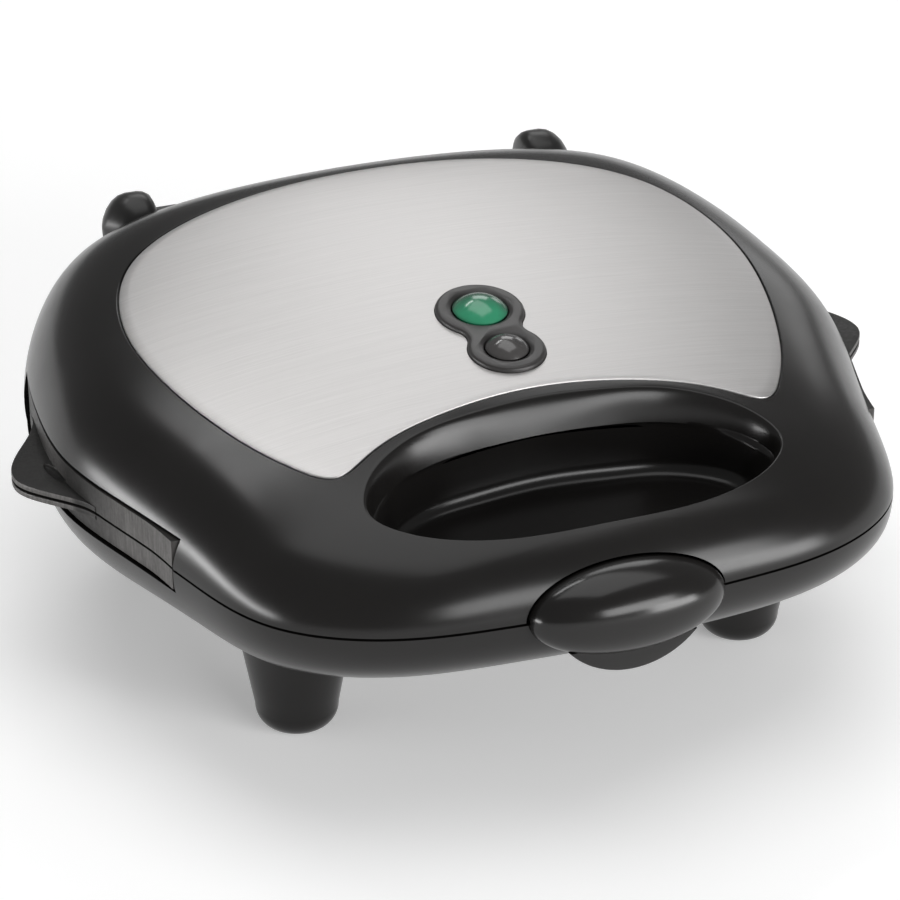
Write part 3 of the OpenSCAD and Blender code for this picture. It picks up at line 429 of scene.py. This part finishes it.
panel_side_x, panel_back_y, panel_front_y = 96.5, 88.0, -45.8
panel_keys = mirrored([
    (0, panel_back_y), (0.57 * panel_side_x, panel_back_y - 7),
    (0.88 * panel_side_x, panel_back_y - 24), (panel_side_x, panel_back_y - 55),
    (0.985 * panel_side_x, panel_back_y - 84),
    (0.89 * panel_side_x, panel_front_y + 16), (0.765 * panel_side_x, panel_front_y - 9),
    (0.68 * panel_side_x, panel_front_y - 17), (0.57 * panel_side_x, panel_front_y - 12.5),
    (0.32 * panel_side_x, panel_front_y - 3.5), (0, panel_front_y)])
panel_core = np.array((0.0, 20.0))


def on_lid(curve, dz):
    """Ring of points at dz over the lid's skin."""
    return level(curve, lid_height(curve) + dz)


def lid_sheet(name, edge_rings):
    """Closed sheet that follows the lid; edge_rings are (growth, height over the skin) from below,
    round the edge and up to the top."""
    outline = closed_curve(panel_keys, around)
    (g0, low), (g1, high) = edge_rings[0], edge_rings[-1]
    shares = (0.97, 0.9, 0.78, 0.62, 0.45, 0.28, 0.12)
    under = [on_lid(panel_core + (grown(outline, g0) - panel_core) * k, low)
             for k in reversed(shares)]
    top = [on_lid(panel_core + (grown(outline, g1) - panel_core) * k, high) for k in shares]
    edge = [on_lid(grown(outline, g), h) for g, h in edge_rings]
    middle = on_lid(panel_core[None, :], 0)[0]
    pole_low, pole_high = (np.array([middle + (0, 0, z)]) for z in (low, high))
    return ring_mesh(name, [pole_low] + under + edge + top + [pole_high])


upper_cover = ring_mesh("upper_cover_skin", lid_rings(around))
lid_uncut = upper_cover.data.copy()
lid_inside = ring_mesh("inside", lid_rings(around_inside, wall))
# the sheet that is cut out for the panel's bed also rounds the groove's outer edge
panel_bed = lid_sheet("bed", [(0.5, -0.95), (0.5, -0.4), (0.6, -0.16), (0.85, 0.0), (1.3, 0.12),
                              (2.0, 6.0)])

outside = 140  # past the covers on every side
notch_in, notch_front, notch_rear, notch_top, notch_low = 95, -50, 66, 73, 56.2


def notch_cuts(low, high):
    """The openings over or under the plates' ears, one on each side."""
    return [block("notch", (s * notch_in, notch_front, low), (s * outside, notch_rear, high))
            for s in (-1, 1)]


# each hinge ear and the lug beside it have a round-topped slot in the lid's back wall
hinge_x, hinge_w, hinge_y, hinge_z, hinge_r = 71, 17.2, 113, 94, 10
slot_in, slot_mid, slot_out, slot_front, lug_r, room = 54.2, 61.6, 80.6, 100.5, 4, 1
slots = []
for s in (-1, 1):
    for near, far, r in ((slot_in, slot_mid, lug_r + room), (slot_mid, slot_out, hinge_r + room)):
        x0, x1 = sorted((s * near, s * far))
        top = [circle((x, hinge_y, hinge_z), r, upright=True) for x in (x0, x1)]
        slots += [block("slot", (x0, slot_front, lid_rim - 1), (x1, outside, hinge_z)),
                  ring_mesh("slot", top)]

latch_y, latch_z, latch_w, latch_r, latch_gap = -113.5, 63.9, 58, 12.8, 0.7


def barrel(name, grow, sides, steps):
    """Body of revolution along X, thick in the middle and drawn to its ends."""
    rings = []
    for b in np.radians(np.linspace(-90, 90, steps)):
        x, r = (latch_w / 2 + grow) * math.sin(b), (latch_r + grow) * math.cos(b)
        if abs(math.cos(b)) < 1e-9:
            rings.append(np.array([[x, latch_y, latch_z]]))
        else:
            rings.append(circle((x, latch_y, latch_z), r, sides, upright=True))
    return ring_mesh(name, rings)


notches = notch_cuts(lid_rim - 1, notch_top)
carve(upper_cover, [lid_inside, panel_bed, *notches, *slots, barrel("seat", latch_gap, 128, 61)])
smooth(wear(upper_cover, cover_black), 30, like=lid_uncut)
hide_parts("upper_cover")
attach(upper_cover, "lid")

# ---- Top panel ---------------------------------------------------------------------------------
# Thin steel sheet, brushed from side to side, pressed to the lid's curve and held by bent tabs.
# Its edge is just under the cover's skin, with a narrow groove all round.
top_panel = lid_sheet("brushed_panel", [(0.0, -0.8), (0.0, -0.3), (-0.1, -0.1), (-0.35, 0.0)])


def brushed(name, colour, rough):
    """Brushed sheet: long fine lines across, broad soft bands and a light unevenness."""
    look = Look(name)
    fine = look.noise(1.0, 2.0, 0.6, stretch=(60.0, 9000.0, 60.0))
    lines = look.noise(1.0, 3.0, 0.65, stretch=(25.0, 2600.0, 25.0))
    cloud = look.noise(14.0, 3.0, 0.5)
    share = fine * 0.5 + lines * 0.5
    tint = look.mix(share.span(0.3, 0.7), shade(colour, 0.9), shade(colour, 1.08))
    return look.finish(
        Base_Color=tint, Metallic=1.0,
        Roughness=share.span(0.3, 0.7, rough - 0.05, rough + 0.06) + cloud * 0.03,
        Normal=look.bump(share, 0.2, 0.00005))


# the lights sit square on the dome, in the middle of the panel
lens_y = -16.8
slope = math.asin((crown_y - lens_y) / crown_ry)
seat = on_lid(np.array([[0.0, lens_y]]), 0)[0]
tilt = Matrix.Translation(Vector(seat)) @ Matrix.Rotation(slope, 4, "X")


def tilted(rings):
    """Puts rings drawn about the lights' own middle on the sloping skin."""
    m = np.array(tilt)
    return [r @ m[:3, :3].T + m[:3, 3] for r in rings]


ready_r, power_r, lens_gap, bezel_rim, bezel_neck = 8.2, 6.4, 21, 5, 6
bezel_top, bezel_low = 1.3, -1.2


def bezel_outline(count):
    """Two round lobes with a waist that touches both."""
    r1, r2, d = ready_r + bezel_rim, power_r + bezel_rim, lens_gap
    y = ((r1 + bezel_neck) ** 2 - (r2 + bezel_neck) ** 2 + d * d) / (2 * d)
    x = math.sqrt((r1 + bezel_neck) ** 2 - y * y)
    a1, a2 = math.atan2(-y, x), math.atan2(d - y, x)
    lobe1 = [(r1 * math.cos(a), d / 2 + r1 * math.sin(a))
             for a in np.linspace(math.pi / 2, a1, 60)]
    neck = [(x + bezel_neck * math.cos(a), d / 2 - y + bezel_neck * math.sin(a))
            for a in np.linspace(math.pi + a1, math.pi + a2, 24)[1:-1]]
    lobe2 = [(r2 * math.cos(a), -d / 2 + r2 * math.sin(a))
             for a in np.linspace(a2, -math.pi / 2, 60)]
    curve = np.array(mirrored(lobe1 + neck + lobe2))
    return even_steps(np.vstack([curve, curve[:1]]), count)


def bezel_form(name, edge):
    """Body with the bezel's outline; edge is (growth, height) pairs from below to the top."""
    outline = bezel_outline(300)
    return ring_mesh(name, tilted([level(grown(outline, g), z) for g, z in edge]))


carve(top_panel, [bezel_form("hole", [(0.2, -8), (0.2, 8)])])
smooth(wear(top_panel, brushed("steel_brushed", (0.52, 0.51, 0.505), 0.42)), 35)
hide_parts("top_panel")
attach(top_panel, "lid")

# ---- Lights ------------------------------------------------------------------------------------
# A grey plastic bezel in the form of a figure eight, with a large green lens for ready and a small
# smoked one for power. Both lenses are domes, each in a dark sunk ring.
bezel = bezel_form("light_bezel_plate", [
    (0, bezel_low), (0, bezel_top - 1.2), (-0.12, bezel_top - 0.7), (-0.45, bezel_top - 0.25),
    (-0.95, bezel_top), (-1.4, bezel_top + 0.02)])


def turned(profile, centre):
    """Rings of a body of revolution about the lights' upright, from (radius, height) pairs."""
    return [circle((*centre, z), r) if r else np.array([[*centre, z]]) for r, z in profile]


def lens_cutter(r, centre):
    """Round hole with a rounded upper edge, for a lens in its sunk ring."""
    return ring_mesh("ring", tilted(turned([
        (r + 0.2, -6), (r + 0.2, bezel_top - 1.3), (r + 0.35, bezel_top - 0.7),
        (r + 0.8, bezel_top - 0.25), (r + 1.5, bezel_top), (r + 2.6, bezel_top + 0.4)], centre)))


ready_at, power_at = (0, lens_gap / 2), (0, -lens_gap / 2)
carve(bezel, [lens_cutter(ready_r, ready_at), lens_cutter(power_r, power_at)])
bezel_grey = moulded_black("bezel_grey", (0.035, 0.033, 0.0325), 0.34, 0.4)
smooth(wear(bezel, bezel_grey), 30)
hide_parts("light_bezel")
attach(bezel, "lid")


def dome(name, r, rise, centre):
    """Lens: a recess for the lamp, a straight foot, a small round at its edge and a spherical
    dome."""
    ball = (r * r + rise * rise) / (2 * rise)
    end = math.asin(r / ball)
    recess_r, recess_top = r * 0.34, bezel_low + 2
    profile = [(0, recess_top), (recess_r, recess_top), (recess_r, bezel_low), (r - 0.2, bezel_low),
               (r - 0.1, bezel_top - 0.6)]
    profile += [(ball * math.sin(a), bezel_top - 0.5 + rise + ball * (math.cos(a) - 1))
                for a in np.linspace(end * 0.985, 0, 26)]
    return ring_mesh(name, tilted(turned(profile, centre)))


def clear_lens(name, colour, rim_shade_colour, rough):
    """Tinted clear plastic over a dark well: lighter in the middle of the dome, with painted shade
    that darkens it towards the rim as the surface turns from the view, and fine moulded facets
    under the surface."""
    look = Look(name)
    cells = look.node("ShaderNodeTexVoronoi", None, {"Vector": look.place, "Scale": 900.0},
                      out="Distance")
    cloud = look.noise(260.0, 2.0, 0.5)
    # painted shade: the tint darkens towards the dome's rim, where the surface turns from the view
    painted_rim_shade = look.node("ShaderNodeLayerWeight", None, {"Blend": 0.35}, out="Facing")
    tint = look.mix((painted_rim_shade * 1.3 + cloud * 0.3).span(0.2, 1.1), colour, rim_shade_colour)
    return look.finish(Base_Color=tint, Roughness=cells.span(0.0, 0.6, rough, rough * 1.5),
                       Specular_IOR_Level=0.6, Coat_Weight=0.6, Coat_Roughness=0.05,
                       Normal=look.bump(cells, 0.06, 0.0001))


for node, r, rise, centre, colour, rim_shade_colour, slot in (
        ("ready_lens", ready_r, 3.9, ready_at,
         (0.022, 0.25, 0.125), (0.004, 0.05, 0.026), "lens_green"),
        ("power_lens", power_r, 3.3, power_at,
         (0.05, 0.047, 0.046), (0.012, 0.011, 0.011), "lens_smoke")):
    lens = dome(node + "_dome", r, rise, centre)
    smooth(wear(lens, clear_lens(node + "_dome_tint", colour, rim_shade_colour, 0.16)), 40)
    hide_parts(node)
    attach(lens, "lid")

# ---- Lower cover -------------------------------------------------------------------------------
# The deep half of the shell with four tall tapered feet, moulded in the same black. Its rim follows
# the upper cover's, with a fine dark gap between the two.
base_floor, belly_y, belly_r = 24.7, 40, 1000
# how the wall turns under, and how far the floor keeps its height towards the rim
base_turn, base_full = 2.5, 4


def belly(xy):
    """Height of the floor, which bends up a little to the front and the back."""
    return base_floor + (xy[:, 1] - belly_y) ** 2 / (2 * belly_r)


def base_rings(count, t=0.0):
    """Rings of the base's skin from its rim to the middle of its floor, drawn in by t."""
    rim = grown(closed_curve(body_keys, count), -t)
    rings = [level(rim, base_rim + 3 * t)] if t else []
    for s in np.concatenate([np.linspace(0, 0.9, 34), [0.94, 0.97, 0.985, 0.995]]):
        rho = (1 - s**base_turn) ** (1 / base_full)
        xy = core + (rim - core) * rho
        rings.append(level(xy, base_rim - (base_rim - belly(xy)) * s + t))
    middle = core[None, :]
    return rings + [level(middle, belly(middle) + t)]


foot_x, foot_front, foot_back = 70.9, -41, 80
foot_top_r, foot_r = 17.5, 12.2
foot_round_h, foot_low, foot_h = 6.7, 7.6, 29.1
pad_r, pad_low, pad_top = 5.8, 0.5, 2.4


def foot(name, x, y):
    """Tapered post, rounded at the bottom round its rubber pad."""
    edge = 0.3
    profile = [(pad_r, pad_top), (pad_r, pad_low)]
    profile += [(pad_r + edge + (foot_r - pad_r - edge) * math.sin(a),
                 pad_low + foot_round_h * (1 - math.cos(a)))
                for a in np.radians(np.linspace(0, 88, 14))]
    profile += [(foot_r + (foot_top_r - foot_r) * k, foot_low + foot_h * k)
                for k in np.linspace(0, 1, 8)]
    return ring_mesh(name, [circle((x, y, z), r) for r, z in profile])


lower_cover = ring_mesh("lower_cover_skin", base_rings(around))
base_uncut = lower_cover.data.copy()
feet = [foot("foot", sx * foot_x, y) for sx in (-1, 1) for y in (foot_front, foot_back)]
carve(lower_cover, feet, "UNION")
openings = [ring_mesh("inside", base_rings(around_inside, wall))]
openings += notch_cuts(notch_low, base_rim + 1)
# room for the hinge ears in the back and for the latch's hooks in front
ear_half, ear_front_y, ear_foot_z, over = hinge_w / 2 + 0.5, 98, parting_z - 16.5, 80
openings += [block("slot", (s * hinge_x - ear_half, ear_front_y, ear_foot_z),
                   (s * hinge_x + ear_half, outside, over)) for s in (-1, 1)]
hook_half, hook_back_y, hook_low_z = 15, -105, 54.7
openings += [block("catch", (-hook_half, -outside, hook_low_z), (hook_half, hook_back_y, over))]
carve(lower_cover, openings)
smooth(wear(lower_cover, cover_black), 30, like=base_uncut)
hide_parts("lower_cover")
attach(lower_cover, "base")

# ---- Latch -------------------------------------------------------------------------------------
# Thumb latch: a smooth barrel across the front, with a half-moon tongue under it, in the same
# glossy black. It turns on a steel pin in the lid.
latch = barrel("latch_barrel", 0, 160, 81)
latch_uncut = latch.data.copy()

# the lower half of its back follows the covers' front, and is open inside the lid
front = grown(closed_curve(body_keys, around), 0.6)
latch_back = -108
carve(latch, [ring_mesh("under", [level(front, z) for z in (0, lid_rim + 0.9)]),
              block("inside", (-50, latch_back, 20), (50, -60, 100))])
tongue_r, tongue_low, tongue_top, tongue_front, tongue_t = 25, 46.3, 55.1, -119.2, 2.4


def tongue(name):
    """Round plate with a rounded rim, which stands across the front."""
    sides = 240
    a = np.linspace(0, 2 * math.pi, sides, endpoint=False)
    edge = [(-6, tongue_t), (-0.6, tongue_t), (-0.15, tongue_t - 0.3), (0, tongue_t - 0.8),
            (0, 0.7), (-0.2, 0.25), (-0.7, 0), (-6, 0)]
    rings = [np.column_stack([(tongue_r + g) * np.cos(a), np.full(sides, tongue_front + y),
                              tongue_low + tongue_r + (tongue_r + g) * np.sin(a)])
             for g, y in edge]
    return ring_mesh(name, rings)


# all but the lowest part of the round plate is cut off, which leaves the half-moon
moon = carve(tongue("moon"), [block("above", (-40, -outside, tongue_top), (40, -90, 100))])
carve(latch, [moon], "UNION")
latch_black = moulded_black("latch_black", deep_black, 0.18, 0.42)
smooth(wear(latch, latch_black), 30, like=latch_uncut)
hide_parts("latch")
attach(latch, "latch")

# ---- Plates ------------------------------------------------------------------------------------
# Two cast aluminium plates with a black non-stick coat, four bread pockets and a low wall that
# closes each side notch. A thin ear stands out on each side, to lift the hot plate out by.
side_line = closed_curve(body_keys, look_up)
side_line = side_line[(side_line[:, 0] > 60) & (abs(side_line[:, 1]) < 100)]
side_line = side_line[np.argsort(side_line[:, 1])]
pan_x, pan_front, pan_back = 103.2, -45.7, 93.7
flange_front, flange_back, flange_in, flange_t = -48, 64, 3.4, 2.5
ear_y, ear_reach, ear_front, ear_back, ear_t = 15, 12.4, 26, 35, 1.7
# corners of the two triangles that a sandwich is cut into, on the right side
pockets = [[(7.5, -15.5), (73, 78.5), (7.5, 78.5)], [(22.5, -30.5), (88, -30.5), (88, 63.5)]]
# a pocket has steep walls and then a rounded crown: height and draw of each
pocket_r, pocket_wall = 5, 3
steep_h, steep_in, crown_h, crown_in = 10.5, 5.4, 4.5, 6.6


def side(y):
    """Half width of the covers at y."""
    return np.interp(y, side_line[:, 1], side_line[:, 0])


def rounded(corners, centre, d, r):
    """Triangle with its corners drawn in by d and rounded by r."""
    c = pull(np.array(corners, float), centre, d)
    ring = []
    for k in range(3):
        (ax, ay), (bx, by) = c[k] - c[k - 1], c[(k + 1) % 3] - c[k]
        a, b = math.atan2(-ax, ay), math.atan2(-bx, by)
        ring += [c[k] + r * np.array((math.cos(t), math.sin(t)))
                 for t in np.linspace(a, b + 2 * math.pi * (b < a), 10)]
    return np.array(ring)


def plate(name, height, wall_h):
    """Casting on the parting plane; height turns a depth behind it into z."""
    def pocket(corners, s, steps):
        centre = np.mean(corners, axis=0)
        return ring_mesh("pocket", [level(rounded(corners, centre, d, r) * (s, 1), height(h))
                                    for h, d, r in steps])

    # steps of (height, draw, corner radius): a rounded mouth, the walls and the crown
    inner = [(-1.0, 0, pocket_r + 1.3), (0.0, 0, pocket_r + 0.95), (0.25, 0, pocket_r + 0.5),
             (0.8, 0, pocket_r + 0.15), (1.7, 0.3, pocket_r)]
    inner += [(steep_h * k, steep_in * k, pocket_r) for k in (0.5, 0.8, 1.0)]
    inner += [(steep_h + crown_h * math.sin(a), steep_in + crown_in * (1 - math.cos(a)), pocket_r)
              for a in np.radians((15, 30, 45, 60, 75, 90))]
    outer = [(h, d, pocket_r + pocket_wall) for h, d in ((1.0, 0), (12.6, 5.4), (18, 12))]
    flange = [(side(v) - flange_in, v) for v in np.linspace(flange_front, flange_back, 60)[::-1]]
    half = [(0, pan_back), (pan_x, pan_back), (pan_x, flange_back)] + flange + [
        (side(pan_front) - 5.5, pan_front), (0, pan_front)]
    half = [(x, max(v, pan_front)) for x, v in half]
    casting = ring_mesh(name, [level(np.array(mirrored(half)), height(h)) for h in (0, flange_t)])
    added, cut = [], []
    for s in (-1, 1):
        # ear with rounded rims, a bell curve that runs out along the flange's side
        v = np.linspace(ear_y - ear_front, ear_y + ear_back, 110)
        swell = (1 + np.cos(math.pi * (v - ear_y) / np.where(v < ear_y, ear_front, ear_back))) / 2
        edge = np.column_stack([side(v) - 1.2 + ear_reach * swell, v])
        root = [(pan_x + 1, v[-1]), (pan_x + 1, v[0])]
        added.append(ring_mesh("ear", [
            level(np.vstack([edge + (g, 0), root]) * (s, 1), height(h)) for g, h in (
                (-0.4, 0), (-0.12, 0.1), (0, 0.35), (0, ear_t - 0.45), (-0.15, ear_t - 0.12),
                (-0.5, ear_t))]))
        # wall along the notch, turned out a little at its front end
        w, turn_y, wall_t = np.linspace(-49, 65, 90), -36, 2.6
        face = side(w) - 1.5 + 1.1 * np.clip((turn_y - w) / 13, 0, 1) ** 1.5
        band = np.vstack([np.column_stack([face, w]), np.column_stack([face - wall_t, w])[::-1]])
        band = band * (s, 1)
        added.append(ring_mesh("wall", [level(band, height(h)) for h in (0, wall_h)]))
        # finger rest in the ear, a long shallow hollow from a to b
        a, b, rest_half = np.array((126.3, 19.6)), np.array((123.9, 6.6)), 1.7
        t = np.linspace(0, 2 * math.pi, 48, endpoint=False)
        along, across = (b - a) / 2, np.array(((b - a)[1], (a - b)[0])) / np.linalg.norm(b - a)
        rest = []
        for k, h in ((-2.2, -0.75), (-1.2, -0.65), (-0.5, -0.4), (0, 0.0), (0.3, 0.8)):
            ring = ((a + b) / 2 + np.outer(np.cos(t), along * (1 + 0.08 * k))
                    + np.outer(np.sin(t), across * (rest_half + 0.5 * k)))
            rest.append(level(ring * (s, 1), height(ear_t + h)))
        cut.append(ring_mesh("rest", rest))
        for corners in pockets:
            added.append(pocket(corners, s, outer))
            cut.append(pocket(corners, s, inner))
        # slots for the spring clips in the front and back edges
        for y0, y1 in ((pan_front - 1, pan_front + 4), (pan_back - 4, pan_back + 1)):
            low, high = sorted((height(-1), height(1.3)))
            cut.append(block("clip", (s * 30 - 7, y0, low), (s * 30 + 7, y1, high)))
    carve(casting, added, "UNION")
    return carve(casting, cut)


cast_coat = Look("cast_coat")
pits = cast_coat.noise(700.0, 4.0, 0.7)
patches = cast_coat.noise(35.0, 4.0, 0.6)
streaks = cast_coat.noise(1.0, 4.0, 0.7, stretch=(900.0, 900.0, 90.0))
apart = cast_coat.place.axis(0).size()
to_back = cast_coat.place.axis(1)
# painted sheen: faces that stand upright come out lighter than the level ones, as where the side
# light falls on them
upright = 1 - cast_coat.node("ShaderNodeTexCoord", out="Normal").axis(2).size().span(0.3, 0.8)
# painted highlight and wear: the coat is thin on the ears' rims and at the walls' front ends, where
# the metal shows through, and these are painted lightest as the light catches them
rim_wear_and_glint = apart.span(0.123, 0.1255)
ends = to_back.span(-0.002, -0.034)
wear_and_painted_sheen = upright * apart.span(0.1035, 0.106) * (0.12 + ends * 0.75 + rim_wear_and_glint * 0.85).span(0.0, 1.0)
coat = cast_coat.mix(patches.span(0.3, 0.7), (0.012, 0.0115, 0.011), (0.024, 0.023, 0.022))
# bare metal's colour, painted light enough to stand for its sheen too
bare_and_lit_metal = cast_coat.mix(streaks.span(0.3, 0.7), (0.075, 0.072, 0.07), (0.135, 0.13, 0.127))
plate_coat = cast_coat.finish(
    Base_Color=cast_coat.mix(wear_and_painted_sheen, coat, bare_and_lit_metal), Roughness=pits.span(0.3, 0.7, 0.42, 0.58),
    Specular_IOR_Level=0.22, Metallic=wear_and_painted_sheen * 0.4, Normal=cast_coat.bump(pits, 0.3, 0.0002))
for node, body, height, wall_h in (
        ("upper_plate", "lid", lambda h: lid_rim + h, 8.1),
        ("lower_plate", "base", lambda h: base_rim - h, 6.3)):
    casting = plate(node + "_casting", height, wall_h)
    smooth(wear(casting, plate_coat), 32)
    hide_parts(node)
    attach(casting, body)

# ---- Frames and inner pieces -------------------------------------------------------------------
# The moulded decks, with the hinge ears on the lower one, and what lies between plate and cover
# keep their built shapes and get their finishes here.


def metal(name, colour, rough):
    """Bare or plated metal with fine wear."""
    look = Look(name)
    marks = look.noise(300.0, 4.0, 0.65)
    return look.finish(
        Base_Color=look.mix(marks.span(0.3, 0.75), shade(colour, 0.8), colour), Metallic=1.0,
        Roughness=marks.span(0.3, 0.7, rough, rough + 0.12), Normal=look.bump(marks, 0.1, 0.0001))


def matt(name, colour, rough):
    """Plain moulded or fired surface with a fine grain."""
    look = Look(name)
    grain = look.noise(400.0, 3.0, 0.6)
    return look.finish(
        Base_Color=look.mix(grain.span(0.3, 0.7), shade(colour, 0.88), colour),
        Roughness=grain.span(0.3, 0.7, rough - 0.05, rough + 0.08),
        Normal=look.bump(grain, 0.2, 0.0002))


frame_black = moulded_black("frame_black", (0.014, 0.0135, 0.013), 0.34, 0.4)
for node, body in (("upper_frame", "lid"), ("lower_frame", "base")):
    # the built deck with its facets shaded as the smooth moulding that they stand for
    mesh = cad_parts[node].data.copy()
    deck = bpy.data.objects.new(node + "_moulding", mesh)
    bpy.context.scene.collection.objects.link(deck)
    weld = bmesh.new()
    weld.from_mesh(mesh)
    bmesh.ops.remove_doubles(weld, verts=weld.verts, dist=2e-6)
    weld.to_mesh(mesh)
    weld.free()
    smooth(wear(deck, frame_black), 28)
    even = deck.modifiers.new("even", "WEIGHTED_NORMAL")
    even.keep_sharp = True
    carve(deck, [])  # without tools it only makes the even shading final
    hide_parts(node)
    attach(deck, body)
finishes = {
    frame_black: ["cord_gland"],
    metal("element_tube", (0.36, 0.33, 0.31), 0.45): ["upper_element", "lower_element"],
    metal("tinned_sheet", (0.72, 0.73, 0.74), 0.3): [
        "upper_reflector", "lower_reflector", "thermal_fuse"],
    metal("zinc_plate", (0.36, 0.365, 0.375), 0.42): [
        "upper_clips", "lower_clips", "lid_screws", "base_screws"],
    metal("turned_steel", (0.55, 0.55, 0.56), 0.25): [
        "latch_pin", "latch_spring", "hinge_pin_left", "hinge_pin_right"],
    metal("stud_brass", (0.75, 0.58, 0.28), 0.3): ["upper_studs", "lower_studs"],
    matt("fired_ceramic", (0.8, 0.77, 0.7), 0.6): [
        "upper_terminal", "lower_terminal", "thermostat"],
    matt("foot_rubber", (0.025, 0.025, 0.025), 0.75): ["foot_pads"],
    clear_lens("lamp_glass", (0.9, 0.5, 0.25), (0.5, 0.2, 0.08), 0.1): ["indicator_lamps"],
}
for material, nodes in finishes.items():
    for node in nodes:
        wear(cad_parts[node], material)

# ---- Camera, floor and light -------------------------------------------------------------------
# The photograph's own angle on a white table in a soft studio: a bright wall of light behind and
# above, low strips in front on both sides, and little else.
camera = bpy.data.objects.new("camera", bpy.data.cameras.new("camera"))
bpy.context.scene.collection.objects.link(camera)
camera.data.lens, camera.data.sensor_width, camera.data.clip_end = 140, 36, 20
# the camera's side and height, and its distance from the point in the middle of the picture
azimuth, elevation, distance = math.radians(-21.643), math.radians(27.957), 1.069
aim = Vector((0.00005, 0.01732, 0.04681))
back = Vector((math.sin(azimuth) * math.cos(elevation), -math.cos(azimuth) * math.cos(elevation),
               math.sin(elevation)))
camera.location = aim + back * distance
camera.rotation_euler = back.to_track_quat("Z", "Y").to_euler()
bpy.context.scene.camera = camera


def stage_white(name, near, far):
    """Matt white that the camera and the reflections see brighter than the lamps make it, the more
    so far from the object, where the lamps don't reach."""
    look = Look(name)
    camera_ray, glossy_ray, clear_ray = (look.node("ShaderNodeLightPath", out=ray) for ray in (
        "Is Camera Ray", "Is Glossy Ray", "Is Transmission Ray"))
    away = look.node("ShaderNodeVectorMath", {"operation": "LENGTH"}, {0: look.place}, out="Value")
    share = away.span(0.45, 3.0, near, far)
    paint = look.node("ShaderNodeBsdfDiffuse", None, {"Color": (0.93, 0.93, 0.93)})
    glow = look.node("ShaderNodeEmission", None, {
        "Color": (1.0, 1.0, 1.0), "Strength": (camera_ray + glossy_ray + clear_ray) * share})
    look.node_out(look.node("ShaderNodeAddShader", None, {0: paint, 1: glow}))
    return look.material


table_half = 9e3
floor = block("floor", (-table_half, -table_half, 0.0), (table_half, table_half, -5.0))
wear(floor, stage_white("table_white", 0.26, 0.75))
# a low white wall far off all round, so that no view looks over the table's edge
ring_in, ring_out, ring_h = 6e3, 6.1e3, 520
backdrop = ring_mesh("backdrop", [circle((0, 0, z), r) for r, z in (
    (ring_in, 0), (ring_in, ring_h), (ring_out, ring_h), (ring_out, 0), (ring_in, 0))],
    ends=False)
wear(backdrop, stage_white("backdrop_white", 0.7, 0.7))

world = bpy.data.worlds.new("studio")
bpy.context.scene.world = world
world.use_nodes = True
world.node_tree.nodes["Background"].inputs["Color"].default_value = (1, 1, 1, 1)
world.node_tree.nodes["Background"].inputs["Strength"].default_value = 0.25


middle_z = 0.07  # height of the object's middle, which every lamp faces


def softbox(name, azimuth, elevation, far, size, radiance):
    """Soft lamp far from the object's middle, in degrees from the back and up; size is its width
    and height in metres."""
    a, e = math.radians(azimuth), math.radians(elevation)
    lamp = bpy.data.lights.new(name, "AREA")
    lamp.shape, lamp.size, lamp.size_y = "RECTANGLE", size[0], size[1]
    lamp.energy = radiance * math.pi * size[0] * size[1]
    box = bpy.data.objects.new(name, lamp)
    bpy.context.scene.collection.objects.link(box)
    at = Vector((math.sin(a) * math.cos(e), math.cos(a) * math.cos(e), math.sin(e))) * far
    box.location = at + Vector((0, 0, middle_z))
    box.rotation_euler = at.to_track_quat("Z", "Y").to_euler()


softbox("overhead", 60, 84, 1.6, (1.6, 1.3), 1.5)
softbox("back_wall", 25, 37, 1.9, (0.8, 0.65), 2.3)
softbox("back_right", 46, 17, 1.8, (0.4, 0.4), 1.4)
softbox("back_left_top", -14, 53, 1.8, (0.7, 0.17), 7.0)
softbox("front_box", 161, 18, 1.6, (1.1, 0.45), 7.0)
softbox("front_right_strip", 143, 4, 1.6, (0.8, 0.4), 9.5)
softbox("left_strip", -82, 2.5, 1.5, (1.3, 0.17), 16.0)

bpy.context.scene.view_settings.view_transform = "Standard"
